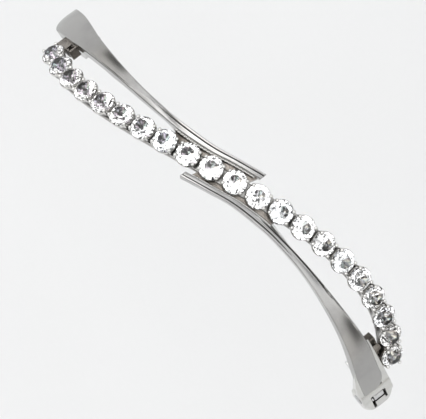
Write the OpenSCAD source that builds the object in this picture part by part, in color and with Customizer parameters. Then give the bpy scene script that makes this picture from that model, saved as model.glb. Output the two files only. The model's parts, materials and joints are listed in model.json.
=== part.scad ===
// Rhinestone hair clip. An openwork arch is made of two blades and a winding row of 21 claw-set
// stones. A lower jaw is hinged under one end of the arch and caught under the other end.
// Millimetres, +Z up, X along the clip. The origin is on the table, under the middle of the clip.
// Below, "apex" means the top of the arch on the girdle surface, and the girdle surface is the
// cylinder on which the widest circles of all the stones lie. Arch places are given as
// [u, y]: u is the distance from the apex along the arch in stone pitches, y is across it.

/* [Arch] */
// Radius of the arch at the stones' girdles
arch_r = 45; // [44:0.5:46]
// Distance between neighbouring stones
pitch = 4.3; // [4.25:0.05:4.4]
// Height of the apex above the table
stand_height = 28; // [27.9:0.1:28.4]

/* [Blades] */
// Height of a blade's face above the girdle surface
blade_rise = 0.2; // [0:0.05:0.4]
// Thickness of a blade
blade_t = 2; // [1.6:0.1:2]
// Length of the rounded corner of a blade's end, in pitches
blade_corner = 0.7; // [0.5:0.05:0.8]

/* [Stones] */
// Number of stones in the row
stone_count = 21; // [15:1:21]
// Diameter of a stone
stone_d = 3.9; // [3.7:0.05:3.95]
// Height of a stone's crown above its girdle
crown_h = 0.85; // [0.6:0.05:1]
// Depth of a stone's pavilion below its girdle
pavilion_h = 1.55; // [1.3:0.05:1.6]
// Girdle thickness
girdle_t = 0.12; // [0.08:0.02:0.2]
// Play between a stone and its cup
stone_play = 0.04; // [0.02:0.01:0.06]
// Radius of a claw
claw_r = 0.26; // [0.2:0.01:0.28]
// Radius of the bead at the tip of a claw
bead_r = 0.32; // [0.26:0.01:0.34]

/* [Rail] */
// Width of the rail under the stones
rail_w = 2.6; // [2:0.1:3]
// Thickness of the rail, the webs and the feet of the bridges
rail_t = 1; // [0.8:0.1:1.2]

/* [Hinge] */
// Angle of the hinge pin from the apex
hinge_at = 63.8; // [63.5:0.1:64]
// Radius of the hinge pin's place, from the centre of the arch
hinge_place_r = 43.4; // [43.2:0.1:43.5]
// Distance of the knuckle's middle from the clip's middle plane
knuckle_y = 0.75; // [0.65:0.05:0.85]
// Distance of the hinge block's middle from the clip's middle plane
hinge_y = 0.7; // [0.65:0.05:0.75]
// Width over both ears
hinge_w = 5.9; // [5.8:0.1:6]
// Width of the jaw's knuckle
knuckle_w = 1.94; // [1.8:0.02:2]
// Outer radius of the ears
barrel_r = 1.9; // [1.8:0.05:1.95]
// Radius of the hinge pin
hinge_pin_r = 0.6; // [0.5:0.05:0.65]

/* [Jaw] */
// Radius of the jaw's upper face
jaw_r = 42.5; // [42.3:0.1:42.7]
// Depth of the jaw's upper face below the apex
jaw_drop = 8.4; // [8.2:0.1:8.6]
// Thickness of the jaw bar
jaw_t = 1.2; // [1:0.1:1.3]
// Height of the teeth of the grip strip
tooth_h = 0.7; // [0.5:0.1:1]
// Distance between the teeth
tooth_pitch = 2.4; // [2:0.1:3]

/* [Catch] */
// Place of the catch pin left of the apex
catch_x = 37; // [36.9:0.1:37.1]
// Depth of the catch pin below the apex
catch_depth = 25.4; // [25.3:0.1:25.5]
// Distance of the catch's middle from the clip's middle plane
catch_y = -1; // [-1.1:0.05:-0.9]
// Width between the cheeks of the catch housing
cheek_gap = 1.9; // [1.85:0.05:2]
// Thickness of a cheek
cheek_t = 0.6; // [0.5:0.05:0.8]
// Radius of the catch pin
catch_pin_r = 0.45; // [0.4:0.05:0.5]
// Radius of the catch lever's hub
hub_r = 1.1; // [1:0.05:1.15]
// Radius of the lever's nose about its pin
nose_r = 2.6; // [2.5:0.05:2.65]
// Angle through which the lever turns when it is pressed
press_angle = 22; // [20:1:24]

/* [Hidden] */
$fn = 64;
eps = 0.01;
stone_r = stone_d / 2;
running_gap = 0.05;
pin_head_t = 0.25;
blade_in = arch_r + blade_rise - blade_t;
blade_out = arch_r + blade_rise;
rail_in = blade_in - rail_t;
middle_stone = (stone_count - 1) / 2;
row_shift = 0.5;

// The row's direction in the unrolled arch: its slope at the middle and how it falls towards the ends.
row_slope = 20.53;
row_bend = 0.3109;
row_curl = 0.000693;

// Both edges of the right blade, from the tail at the middle of the clip to its broad end, as
// [u, lower y, upper y] in pitches. The left blade is the same blade turned half round.
blade_edges = [
    [-0.95, -1.25, -0.98],
    [0, -0.86, -0.62],
    [1, -0.46, -0.20],
    [2, -0.20, 0.10],
    [3, 0.00, 0.28],
    [4.5, 0.14, 0.47],
    [6, 0.14, 0.60],
    [8, 0.00, 0.74],
    [10, -0.28, 0.83],
    [11.2, -0.34, 0.84]
];
left_blade_end = 11.4;
right_blade_end = 11.15;
corner_share = 0.38;

// The middle line and half width of the jaw bar, as [x, y, half width] in millimetres.
jaw_line = [
    [-36, -1.00, 0.80],
    [-31, -0.85, 0.80],
    [-26, -0.45, 1.10],
    [-20.5, 0.00, 0.72],
    [-15, 0.45, 0.72],
    [0, 1.20, 1.30],
    [15, 2.05, 0.72],
    [20.5, 2.60, 0.72],
    [28, 2.85, 1.10],
    [32, 2.20, 1.00],
    [35, 1.30, 0.90]
];

hinge_x = hinge_place_r * sin(hinge_at);
hinge_z = hinge_place_r * cos(hinge_at) - arch_r;
left_end = blade_out * sin(arch_angle(left_blade_end));
hood_end = 41.75;
centre_shift = (left_end - hood_end) / 2;
jaw_centre_z = -jaw_drop - jaw_r;
slot_w = knuckle_w + 0.16;
slot_y = knuckle_y - slot_w / 2;
ears_from = hinge_y - hinge_w / 2;
ears_to = hinge_y + hinge_w / 2;
pin_play = 0.02;
pocket_r = 1.35;
pocket_wall = 0.6;

function stone_name(i) = str("stone_", i < 10 ? "0" : "", i);
function cup_name(i) = str("claw_cup_", i < 10 ? "0" : "", i);

// ---- Places on the arch ----

function arch_angle(u) = u * pitch / arch_r * 180 / PI;

function plan_x(u, r) = r * sin(arch_angle(u));

// Direction of the row at a distance s pitches along it from its middle.
function row_angle(s) = row_slope - row_bend * s * s - row_curl * pow(s, 4);

// Length along u, or along y, that the row covers from its middle to s, by Simpson's rule.
function row_sum(s, steps, along) =
    let (h = s / steps)
    let (
        values = [
            for (i = [0:steps])
                (along ? cos(row_angle(i * h)) : sin(row_angle(i * h)))
                * (i == 0 || i == steps ? 1 : (i % 2 == 1 ? 4 : 2))
        ]
    )
    total(values) * h / 3;

function total(v, i = 0) = i == len(v) ? 0 : v[i] + total(v, i + 1);

function row_u(s) = s == 0 ? 0 : row_sum(s, 12, true);
function row_y(s) = s == 0 ? 0 : row_sum(s, 12, false) * pitch;

// A point beside the row: d millimetres to its left, seen from above and looking towards +X.
function beside_row(s, d) = [row_u(s) - d * sin(row_angle(s)) / pitch, row_y(s) + d * cos(row_angle(s))];

// Place of stone i along the row.
function stone_s(i) = i - 1 - middle_stone + row_shift;

// A smooth curve through the rows of a table: column c as a function of column 0.
function segment(table, x, i = 0) =
    i >= len(table) - 2 || x < table[i + 1][0] ? i : segment(table, x, i + 1);
function slope(table, i, c) =
    let (a = max(i - 1, 0), b = min(i + 1, len(table) - 1))
    (table[b][c] - table[a][c]) / (table[b][0] - table[a][0]);
function curve(table, x, c) =
    let (i = segment(table, x), w = table[i + 1][0] - table[i][0], t = (x - table[i][0]) / w)
    let (h0 = 2 * pow(t, 3) - 3 * t * t + 1, h1 = pow(t, 3) - 2 * t * t + t)
    let (h2 = -2 * pow(t, 3) + 3 * t * t, h3 = pow(t, 3) - t * t)
    let (near = h0 * table[i][c] + h1 * w * slope(table, i, c))
    near + h2 * table[i + 1][c] + h3 * w * slope(table, i + 1, c);

function blade_low(u) = curve(blade_edges, u, 1) * pitch;
function blade_high(u) = curve(blade_edges, u, 2) * pitch;

// ---- Building blocks ----

// Moves a piece from the apex's frame to the clip's frame.
module in_clip() {
    translate([centre_shift, 0, stand_height]) children();
}

// Turns a piece half round about the clip's upright middle line, for the left half of the clip.
module half_turn(turned = true) {
    rotate([0, 0, turned ? 180 : 0]) children();
}

// Puts a piece on the girdle surface, with its +Z outwards and its +X along the arch.
module on_arch(u, y, turn = 0) {
    translate([arch_r * sin(arch_angle(u)), y, arch_r * cos(arch_angle(u)) - arch_r])
        rotate([0, arch_angle(u), 0])
            rotate([0, 0, turn]) children();
}

// A cylinder that lies across the clip, from y0 to y1.
module across(x, z, r, y0, y1) {
    translate([x, y1, z]) rotate([90, 0, 0]) cylinder(h = y1 - y0, r = r, $fn = r > 10 ? 360 : 64);
}

// A drawing in the XZ plane, made solid from y0 to y1.
module profile(y0, y1) {
    translate([0, y1, 0]) rotate([90, 0, 0]) linear_extrude(y1 - y0) children();
}

// The part of a prism, drawn in plan, between two radii of the arch. It ends square to the arch at u_end.
module arch_slice(r_in, r_out, u_end = 16) {
    reach = 15;
    far = 80;
    a = arch_angle(u_end);
    intersection() {
        translate([0, 0, -arch_r]) linear_extrude(arch_r + blade_rise + 1) children();
        difference() {
            across(0, -arch_r, r_out, -reach, reach);
            across(0, -arch_r, r_in, -reach - 1, reach + 1);
        }
        profile(-reach, reach) translate([0, -arch_r])
            polygon([[0, 0], [far * sin(a), far * cos(a)], [far * sin(a), far], [-far, far], [-far, 0]]);
    }
}

// ---- Blades ----

blade_step = 0.25;

// The blade in plan: square at its low corner and widely rounded at the high one.
module blade_plan(end_u) {
    corner_u = end_u - blade_corner;
    w = blade_high(end_u) - blade_low(end_u);
    low_us = [for (u = [blade_edges[0][0]:blade_step:end_u - eps]) u];
    high_us = [for (u = [blade_edges[0][0]:blade_step:corner_u - eps]) u];
    low = [for (u = low_us) [plan_x(u, blade_out), blade_low(u)]];
    end = [
        for (a = [0:10:90])
            [
                plan_x(corner_u + blade_corner * cos(a), blade_out),
                blade_low(end_u) + w * (corner_share + (1 - corner_share) * sin(a))
            ]
    ];
    high = [for (i = [len(high_us) - 1:-1:0]) [plan_x(high_us[i], blade_out), blade_high(high_us[i])]];
    polygon(concat(low, [[plan_x(end_u, blade_out), blade_low(end_u)]], end, high));
}

module blade(end_u) {
    arch_slice(blade_in, blade_out, end_u) blade_plan(end_u);
}

module right_blade() {
    color("silver") in_clip() blade(right_blade_end);
}

module left_blade() {
    color("silver") in_clip() half_turn() blade(left_blade_end);
}

// ---- Rail, webs and bridges ----

rail_step = 0.5;
rail_over = 0.45;

module rail_plan() {
    first = stone_s(1) - rail_over;
    last = stone_s(stone_count) + rail_over;
    ss = [for (s = [first:rail_step:last + eps]) s];
    left = [for (s = ss) beside_row(s, rail_w / 2)];
    right = [for (i = [len(ss) - 1:-1:0]) beside_row(ss[i], -rail_w / 2)];
    polygon([for (p = concat(right, left)) [plan_x(p[0], blade_in), p[1]]]);
}

module stone_rail() {
    color("gainsboro") in_clip() arch_slice(rail_in, blade_in) rail_plan();
}

web_from = -0.9;
web_to = 2.5;
web_under_tail = 0.28;
web_under_rail = 0.7;

module web_plan() {
    us = [for (u = [web_from:0.2:web_to + eps]) u];
    low = [for (u = us) [plan_x(u, blade_in), blade_low(u) + web_under_tail]];
    row = [for (s = [web_to * 1.08:-0.25:web_from * 1.05]) beside_row(s, web_under_rail - rail_w / 2)];
    polygon(concat(low, [for (p = row) [plan_x(p[0], blade_in), p[1]]]));
}

// A web fills the corner between the rail and a blade's tail, and carries the tail.
module web(turned) {
    arch_slice(rail_in, blade_in) difference() {
        half_turn(turned) web_plan();
        rail_plan();
    }
}

module lower_web() {
    color("gainsboro") in_clip() web(false);
}

module upper_web() {
    color("gainsboro") in_clip() web(true);
}

bridge_from = 9;
right_bridge_to = 10.3;
left_bridge_to = 9.8;
bridge_step = 0.2;
bridge_top = 44.1;
bridge_reach = 1.5;
foot_reach = 3.2;
foot_under_blade = 0.6;

// The strip beside a blade's inner edge, from y0 to y1 millimetres outside it.
module beside_blade_plan(y0, y1, u_end) {
    us = [for (u = [bridge_from:bridge_step:u_end + eps]) u];
    near = [for (u = us) [plan_x(u, blade_out), blade_high(u) + y0]];
    far = [for (i = [len(us) - 1:-1:0]) [plan_x(us[i], blade_out), blade_high(us[i]) + y1]];
    polygon(concat(near, far));
}

// A bridge joins the broad end of a blade to the rail: a raised bar beside the cups on a low foot.
module bridge(turned) {
    first = turned ? 1 : stone_count - 1;
    u_end = turned ? left_bridge_to : right_bridge_to;
    cup_room = norm([claw_along, claw_side]) + claw_r + running_gap;
    difference() {
        arch_slice(blade_in, bridge_top) half_turn(turned) beside_blade_plan(0, bridge_reach, u_end);
        for (i = [first, first + 1])
            at_stone(i) translate([0, 0, -4]) cylinder(h = 8, r = cup_room);
    }
    arch_slice(rail_in, blade_in) difference() {
        half_turn(turned) beside_blade_plan(-foot_under_blade, foot_reach, u_end);
        rail_plan();
    }
}

module right_bridge() {
    color("dimgray") in_clip() difference() {
        bridge(false);
        hood();
    }
}

module left_bridge() {
    color("dimgray") in_clip() bridge(true);
}

// ---- Stones and cups ----

// A faceted brilliant: an eight-sided table, a girdle and a point.
module brilliant() {
    table_r = stone_r * 0.56;
    star_r = stone_r * 0.8;
    hull() {
        translate([0, 0, crown_h - 0.02]) cylinder(h = 0.02, r = table_r, $fn = 8);
        translate([0, 0, crown_h * 0.52]) rotate([0, 0, 22.5]) cylinder(h = 0.01, r = star_r, $fn = 8);
        cylinder(h = girdle_t, r = stone_r, $fn = 16);
        translate([0, 0, -pavilion_h]) cylinder(h = 0.02, r = 0.08, $fn = 8);
    }
}

// The room that a stone takes in its cup, with its play.
module stone_room() {
    r = stone_r + stone_play;
    rotate_extrude() polygon([
        [0, -pavilion_h - 0.1],
        [0.3, -pavilion_h - 0.1],
        [r, -stone_play],
        [r, girdle_t + stone_play],
        [r * 0.58, crown_h + 0.1],
        [r * 0.58, crown_h + 1],
        [0, crown_h + 1]
    ]);
}

cup_r = 2.08;
cup_foot_r = 1.3;
claw_along = 1.66;
claw_side = 1.15;

module claw_cup_body() {
    difference() {
        union() {
            translate([0, 0, -blade_t - 0.2]) cylinder(h = blade_t + 0.1, r1 = cup_foot_r, r2 = cup_r);
            for (x = [-claw_along, claw_along])
                for (y = [-claw_side, claw_side]) {
                    translate([x, y, -1.2]) cylinder(h = 1.55, r = claw_r, $fn = 24);
                    translate([x * 0.97, y * 0.97, 0.36]) sphere(r = bead_r, $fn = 24);
                }
        }
        stone_room();
        translate([0, 0, -4]) cylinder(h = 4, r = 0.3, $fn = 24);
    }
}

module at_stone(i) {
    s = stone_s(i);
    on_arch(row_u(s), row_y(s), row_angle(s)) children();
}

module claw_cup(i) {
    color("lightgray") in_clip() difference() {
        at_stone(i) claw_cup_body();
        across(0, -arch_r, blade_in, -15, 15);
    }
}

module stone(i) {
    color("white") in_clip() at_stone(i) rotate([0, 0, 11.25]) brilliant();
}

// ---- Hinge ----

hood_to = 12.35;
hood_in = 41.5;

module pin_frame() {
    translate([hinge_x, 0, hinge_z]) rotate([0, hinge_at, 0]) children();
}

// The hood in plan: it comes out from under the blade and ends in two wide curves.
module hood_plan() {
    low_r = 1.85;
    high_r = 2.2;
    hull() {
        polygon([[33, ears_to], [33, 1], [37.3, ears_from + 0.35], [38.3, ears_from]]);
        translate([hood_end - low_r, ears_from + low_r]) circle(r = low_r, $fn = 64);
        translate([hood_end - high_r, ears_to - high_r]) circle(r = high_r, $fn = 64);
    }
}

// The rounded casing round and under the right blade's end. It runs on down to the table.
module hood() {
    intersection() {
        arch_slice(hood_in, blade_out, hood_to) hood_plan();
        translate([0, -15, -stand_height]) cube([60, 30, stand_height + 1]);
    }
}

module hinge_block() {
    pad_x = 1.3;
    slit_w = 0.3;
    slit_l = 3.6;
    slot_depth = stand_height + 1 + hinge_z;
    color("silver") in_clip() difference() {
        union() {
            difference() {
                hood();
                blade(right_blade_end);
            }
            across(hinge_x, hinge_z, barrel_r, ears_from, ears_to);
            translate([hinge_x - pad_x, ears_from, -stand_height])
                cube([2 * pad_x, hinge_w, stand_height + hinge_z]);
        }
        across(hinge_x, hinge_z, barrel_r + 0.12, slot_y, slot_y + slot_w);
        translate([hinge_x - 5, slot_y, -stand_height - 1]) cube([5, slot_w, slot_depth + 1.6]);
        translate([hinge_x - eps, slot_y, -stand_height - 1]) cube([1.6, slot_w, slot_depth]);
        across(hinge_x, hinge_z, hinge_pin_r + pin_play, ears_from - 1, ears_to + 1);
        across(hinge_x, hinge_z, pocket_r, slot_y + slot_w / 2, ears_to - pocket_wall);
        for (y = [slot_y, slot_y + slot_w - slit_w])
            pin_frame() translate([-2.4, y, 0.9]) cube([slit_l, slit_w, 2]);
    }
}

module hinge_pin() {
    y0 = ears_from - pin_head_t;
    y1 = ears_to + pin_head_t;
    color("gray") in_clip() {
        across(hinge_x, hinge_z, hinge_pin_r, y0, y1);
        across(hinge_x, hinge_z, hinge_pin_r + 0.3, y0, y0 + pin_head_t);
        across(hinge_x, hinge_z, hinge_pin_r + 0.3, y1 - pin_head_t, y1);
    }
}

// A close-wound spring on the hinge pin, as the tube that its turns fill.
module jaw_spring() {
    y0 = slot_y + slot_w + running_gap;
    y1 = ears_to - pocket_wall - running_gap;
    color("gray") in_clip() difference() {
        across(hinge_x, hinge_z, 1.25, y0, y1);
        across(hinge_x, hinge_z, 0.8, y0 - 1, y1 + 1);
    }
}

// ---- Jaw ----

function jaw_y(x) = curve(jaw_line, x, 1);
function jaw_half(x) = curve(jaw_line, x, 2);

// The strip along the jaw's middle line from x0 to x1, as wide as the jaw unless half its width is given.
module jaw_plan(x0, x1, half = 0) {
    steps = 46;
    xs = [for (i = [0:steps]) x0 + (x1 - x0) * i / steps];
    low = [for (x = xs) [x, jaw_y(x) - (half ? half : jaw_half(x))]];
    high = [for (i = [steps:-1:0]) [xs[i], jaw_y(xs[i]) + (half ? half : jaw_half(xs[i]))]];
    polygon(concat(low, high));
}

module jaw_ring(r_in, r_out) {
    difference() {
        across(0, jaw_centre_z, r_out, -15, 15);
        across(0, jaw_centre_z, r_in, -16, 16);
    }
}

stem_gap = 0.1;
stem_t = 1.2;
nose_low_angle = 35;
nose_high_angle = 62;
barb_play = 0.06;
stem_x = -catch_x + nose_r * cos(nose_low_angle) + stem_gap;
barb_x = -catch_x + nose_r * cos(nose_low_angle + press_angle) + 0.16;
stem_top = -22.4;
stem_w = 1.6;

// The jaw's upright stem, with a barb that hooks over the lever's nose.
module jaw_stem() {
    profile(catch_y - stem_w / 2, catch_y + stem_w / 2) difference() {
        polygon([
            [stem_x, -27.7],
            [stem_x + stem_t, -27.7],
            [stem_x + stem_t, stem_top + 0.3],
            [stem_x + stem_t - 0.3, stem_top],
            [stem_x, stem_top],
            [barb_x, stem_top - 0.5],
            [barb_x, stem_top - 1.4],
            [stem_x, stem_top - 1.8]
        ]);
        translate([-catch_x, -catch_depth]) circle(r = nose_r + barb_play);
    }
}

module lower_jaw() {
    bar_from = stem_x;
    bar_to = 34.2;
    neck_from = 33.2;
    y0 = knuckle_y - knuckle_w / 2;
    y1 = knuckle_y + knuckle_w / 2;
    color("silver") in_clip() difference() {
        union() {
            intersection() {
                jaw_ring(jaw_r - jaw_t, jaw_r);
                translate([0, 0, -27.7]) linear_extrude(25) jaw_plan(bar_from, bar_to);
            }
            jaw_stem();
            profile(y0, y1) polygon([
                [neck_from, jaw_centre_z + sqrt(pow(jaw_r - 0.1, 2) - pow(neck_from, 2))],
                [hinge_x - 1.3, hinge_z + 1.3],
                [hinge_x, hinge_z],
                [hinge_x - 0.8, hinge_z - 1.5],
                [neck_from + 0.5, jaw_centre_z + sqrt(pow(jaw_r - jaw_t + 0.1, 2) - pow(neck_from + 0.5, 2))]
            ]);
            across(hinge_x, hinge_z, barrel_r - 0.05, y0, y1);
        }
        across(hinge_x, hinge_z, hinge_pin_r + running_gap, y0 - 1, y1 + 1);
    }
}

// The soft strip on the jaw, with a row of blunt teeth.
module grip_strip() {
    strip_t = 0.4;
    strip_half = 0.45;
    strip_to = 27;
    teeth = floor(strip_to / tooth_pitch);
    color("dimgray") in_clip() {
        intersection() {
            jaw_ring(jaw_r, jaw_r + strip_t);
            translate([0, 0, -27]) linear_extrude(25) jaw_plan(-strip_to, strip_to, strip_half);
        }
        for (i = [-teeth:teeth]) {
            x = i * tooth_pitch;
            lean = asin(x / jaw_r);
            translate([0, jaw_y(x), jaw_centre_z]) rotate([0, lean, 0])
                translate([0, 0, jaw_r + strip_t / 2])
                    cylinder(h = tooth_h, r1 = 0.4, r2 = 0.2, $fn = 20);
        }
    }
}

// ---- Catch ----

housing_in = 38.6;
housing_left = -38.3;
housing_right = -32;

module housing_profile(r_in) {
    intersection() {
        difference() {
            translate([0, -arch_r]) circle(r = blade_in, $fn = 360);
            translate([0, -arch_r]) circle(r = r_in, $fn = 360);
        }
        translate([housing_left, -stand_height]) square([housing_right - housing_left, stand_height]);
    }
}

module catch_housing() {
    y_in = cheek_gap / 2;
    y_out = y_in + cheek_t;
    tie_left = -33.8;
    color("gainsboro") in_clip() difference() {
        union() {
            profile(catch_y - y_out, catch_y - y_in) housing_profile(housing_in);
            profile(catch_y + y_in, catch_y + y_out) housing_profile(housing_in);
            profile(catch_y - y_out, catch_y + y_out) intersection() {
                housing_profile(41.2);
                translate([tie_left, -stand_height]) square([20, stand_height]);
            }
        }
        across(-catch_x, -catch_depth, catch_pin_r + 0.02, catch_y - 5, catch_y + 5);
    }
}

lever_w = 1;

// The catch lever: a hub, a nose that holds the jaw's barb and a thumb tab under the blade's end.
module catch_lever() {
    y0 = catch_y - cheek_gap / 2 + 0.1;
    y1 = y0 + lever_w;
    color("lightgray") in_clip() difference() {
        profile(y0, y1) translate([-catch_x, -catch_depth]) {
            circle(r = hub_r);
            intersection() {
                difference() {
                    circle(r = nose_r);
                    circle(r = hub_r - 0.2);
                }
                polygon([
                    [0, 0],
                    [4 * cos(nose_low_angle), 4 * sin(nose_low_angle)],
                    [4 * cos(nose_high_angle), 4 * sin(nose_high_angle)]
                ]);
            }
            polygon([[-0.2, -0.9], [-0.95, -0.5], [-1.85, -1.5], [-1.9, -2.2], [-1.5, -2.4], [-0.9, -2.3]]);
        }
        across(-catch_x, -catch_depth, catch_pin_r + running_gap, y0 - 1, y1 + 1);
    }
}

module catch_pin() {
    y_out = cheek_gap / 2 + cheek_t;
    y0 = catch_y - y_out - 0.2;
    y1 = catch_y + y_out + 0.2;
    color("gray") in_clip() {
        across(-catch_x, -catch_depth, catch_pin_r, y0, y1);
        across(-catch_x, -catch_depth, catch_pin_r + 0.2, y0, y0 + 0.2);
        across(-catch_x, -catch_depth, catch_pin_r + 0.2, y1 - 0.2, y1);
    }
}

// A close-wound spring beside the lever's hub, as the tube that its turns fill.
module catch_spring() {
    y0 = catch_y - cheek_gap / 2 + 0.15 + lever_w;
    y1 = catch_y + cheek_gap / 2 - 0.08;
    color("gray") in_clip() difference() {
        across(-catch_x, -catch_depth, 0.95, y0, y1);
        across(-catch_x, -catch_depth, 0.6, y0 - 1, y1 + 1);
    }
}

left_blade();
right_blade();
stone_rail();
upper_web();
lower_web();
left_bridge();
right_bridge();
hinge_block();
hinge_pin();
jaw_spring();
lower_jaw();
grip_strip();
catch_housing();
catch_lever();
catch_pin();
catch_spring();
for (i = [1:stone_count]) claw_cup(i);
for (i = [1:stone_count]) stone(i);
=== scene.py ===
"""Looks of a rhinestone hair clip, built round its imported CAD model.

Blender lengths are metres, X runs along the clip towards its hinge, Y across it and Z up. Sizes in the
classes below are millimetres. What follows the arch is drawn unrolled: u is the distance from the apex
along the arch in stone pitches, y is across the clip and h is the height over the surface on which the
stones' girdles lie.
"""

import json
import logging
import math
from collections.abc import Callable, Iterable, Sequence
from dataclasses import dataclass, field
from enum import Enum
from typing import Any, Union

import bmesh
import bpy
import numpy as np
from mathutils import Matrix, Vector

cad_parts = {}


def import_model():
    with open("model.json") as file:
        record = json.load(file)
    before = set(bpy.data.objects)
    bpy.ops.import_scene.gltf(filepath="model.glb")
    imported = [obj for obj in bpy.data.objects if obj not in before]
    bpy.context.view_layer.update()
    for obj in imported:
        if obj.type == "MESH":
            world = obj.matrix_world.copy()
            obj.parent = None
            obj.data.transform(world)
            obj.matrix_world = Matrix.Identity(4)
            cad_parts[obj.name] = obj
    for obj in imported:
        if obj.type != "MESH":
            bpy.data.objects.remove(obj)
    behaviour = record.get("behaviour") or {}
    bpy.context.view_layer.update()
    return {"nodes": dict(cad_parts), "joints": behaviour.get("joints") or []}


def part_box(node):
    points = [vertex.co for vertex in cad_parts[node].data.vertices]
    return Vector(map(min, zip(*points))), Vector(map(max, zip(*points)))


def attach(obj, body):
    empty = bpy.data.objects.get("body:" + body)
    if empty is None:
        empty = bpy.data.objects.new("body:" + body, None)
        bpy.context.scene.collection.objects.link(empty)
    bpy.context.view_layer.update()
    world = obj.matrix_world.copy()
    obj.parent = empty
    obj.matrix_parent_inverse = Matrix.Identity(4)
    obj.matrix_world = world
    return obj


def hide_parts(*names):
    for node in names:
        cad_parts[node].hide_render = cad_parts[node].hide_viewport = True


MM = 0.001
WELD = 0.0005 * MM
# Name of the per-point amount of painted shade: the plate finishes darken towards near-black where it is
# high.
PAINTED_SHADE = "painted_shade"
CHANCE = "chance"
FACET = "facet"
log = logging.getLogger("hair_clip")


class Body(Enum):
    """The three bodies of the mechanism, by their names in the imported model."""

    FRAME = "frame"
    JAW = "jaw"
    CATCH = "catch"


class Side(Enum):
    """The two halves of the clip: the right one ends in the hinge, the left one in the catch."""

    LEFT = "left"
    RIGHT = "right"


# ---------------------------------------------------------------------------------------------------
# Node trees
# ---------------------------------------------------------------------------------------------------

Operand = Union["Wire", float, int]


class Wire:
    """A value on a node's socket, with arithmetic that adds Math nodes."""

    def __init__(self, bench: "Bench", socket: bpy.types.NodeSocket) -> None:
        """Keeps the bench that the socket's node stands on, and the socket."""
        self.bench = bench
        self.socket = socket

    def maths(self, operation: str, *values: Operand, clamp: bool = False) -> "Wire":
        """Adds one Math node.

        Args:
            operation: The Math node's operation.
            values: Its inputs in order.
            clamp: Whether the result is held between 0 and 1.

        Returns:
            The node's result.
        """
        settings = {"operation": operation, "use_clamp": clamp}
        return self.bench.wire("ShaderNodeMath", settings, dict(enumerate(values)))

    def __add__(self, other: Operand) -> "Wire":
        """Sum."""
        return self.maths("ADD", self, other)

    def __radd__(self, other: Operand) -> "Wire":
        """Sum, with the number first."""
        return self.maths("ADD", other, self)

    def __sub__(self, other: Operand) -> "Wire":
        """Difference."""
        return self.maths("SUBTRACT", self, other)

    def __rsub__(self, other: Operand) -> "Wire":
        """Difference, with the number first."""
        return self.maths("SUBTRACT", other, self)

    def __mul__(self, other: Operand) -> "Wire":
        """Product."""
        return self.maths("MULTIPLY", self, other)

    def fraction(self) -> "Wire":
        """What stands after the decimal point."""
        return self.maths("FRACT", self)

    def sine(self) -> "Wire":
        """Sine of the value in radians."""
        return self.maths("SINE", self)

    def cosine(self) -> "Wire":
        """Cosine of the value in radians."""
        return self.maths("COSINE", self)

    def clamped(self) -> "Wire":
        """The value held between 0 and 1."""
        return self.maths("ADD", self, 0.0, clamp=True)

    def ramp(self, low: float, high: float) -> "Wire":
        """A smooth step from 0 at low to 1 at high; low may be the larger."""
        inputs = {"Value": self, "From Min": low, "From Max": high, "To Min": 0.0, "To Max": 1.0}
        settings = {"interpolation_type": "SMOOTHSTEP", "clamp": True}
        return self.bench.wire("ShaderNodeMapRange", settings, inputs)


class Bench:
    """A node tree that is being wired up."""

    def __init__(self, tree: bpy.types.NodeTree) -> None:
        """Starts on an empty tree."""
        self.tree = tree
        tree.nodes.clear()

    def node(self, kind: str, settings: dict[str, Any] | None = None,
             inputs: dict[Any, Any] | None = None) -> bpy.types.Node:
        """Adds a node.

        Args:
            kind: The node's type.
            settings: Its own properties, set first.
            inputs: Values, Wires or output sockets for its sockets, by name or by place.

        Returns:
            The node.
        """
        made = self.tree.nodes.new(kind)
        for name, value in (settings or {}).items():
            setattr(made, name, value)
        for key, value in (inputs or {}).items():
            socket = made.inputs[key]
            if isinstance(value, Wire):
                self.tree.links.new(value.socket, socket)
            elif isinstance(value, bpy.types.NodeSocket):
                self.tree.links.new(value, socket)
            else:
                socket.default_value = value
        return made

    def out(self, kind: str, settings: dict[str, Any] | None = None,
            inputs: dict[Any, Any] | None = None, which: int | str = 0) -> bpy.types.NodeSocket:
        """Adds a node and returns one of its outputs."""
        return self.node(kind, settings, inputs).outputs[which]

    def wire(self, kind: str, settings: dict[str, Any] | None = None,
             inputs: dict[Any, Any] | None = None, which: int | str = 0) -> Wire:
        """Adds a node and returns one of its outputs as a Wire."""
        return Wire(self, self.out(kind, settings, inputs, which))

    def mixed(self, factor: Operand, first: Any, second: Any, blend: str = "MIX") -> Wire:
        """Mixes two colours: factor 0 gives the first, 1 the second."""
        settings = {"data_type": "RGBA", "blend_type": blend}
        inputs = {0: factor, 6: first, 7: second}
        return self.wire("ShaderNodeMix", settings, inputs, 2)

    def attribute(self, name: str) -> Wire:
        """A number that the mesh carries at each point or face."""
        return self.wire("ShaderNodeAttribute", {"attribute_name": name}, None, "Fac")

    def place(self, scale: Sequence[float] = (1, 1, 1)) -> Wire:
        """The object's own coordinates, stretched."""
        coordinates = self.out("ShaderNodeTexCoord", which="Object")
        return self.wire("ShaderNodeMapping", None, {"Vector": coordinates, "Scale": scale})

    def noise(self, place: Wire, size: float, detail: float = 3.0, rough: float = 0.55) -> Wire:
        """Smooth noise, 0 to 1, whose largest lumps are size millimetres across."""
        inputs = {"Vector": place, "Scale": 1 / (size * MM), "Detail": detail, "Roughness": rough}
        return self.wire("ShaderNodeTexNoise", {"noise_dimensions": "3D"}, inputs)

    def bump(self, height: Wire, depth: float) -> Wire:
        """A surface normal from a height: depth is in millimetres for a height of 1."""
        return self.wire("ShaderNodeBump", None, {"Height": height, "Distance": depth * MM})


def colour(red: float, green: float, blue: float) -> tuple[float, float, float, float]:
    """A colour as four numbers."""
    return (red, green, blue, 1.0)


def grey(value: float, warmth: float = 0.0) -> tuple[float, float, float, float]:
    """A grey, made warmer by a positive warmth."""
    return colour(value * (1 + warmth), value, value * (1 - warmth))


# ---------------------------------------------------------------------------------------------------
# Finishes
# ---------------------------------------------------------------------------------------------------


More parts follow.
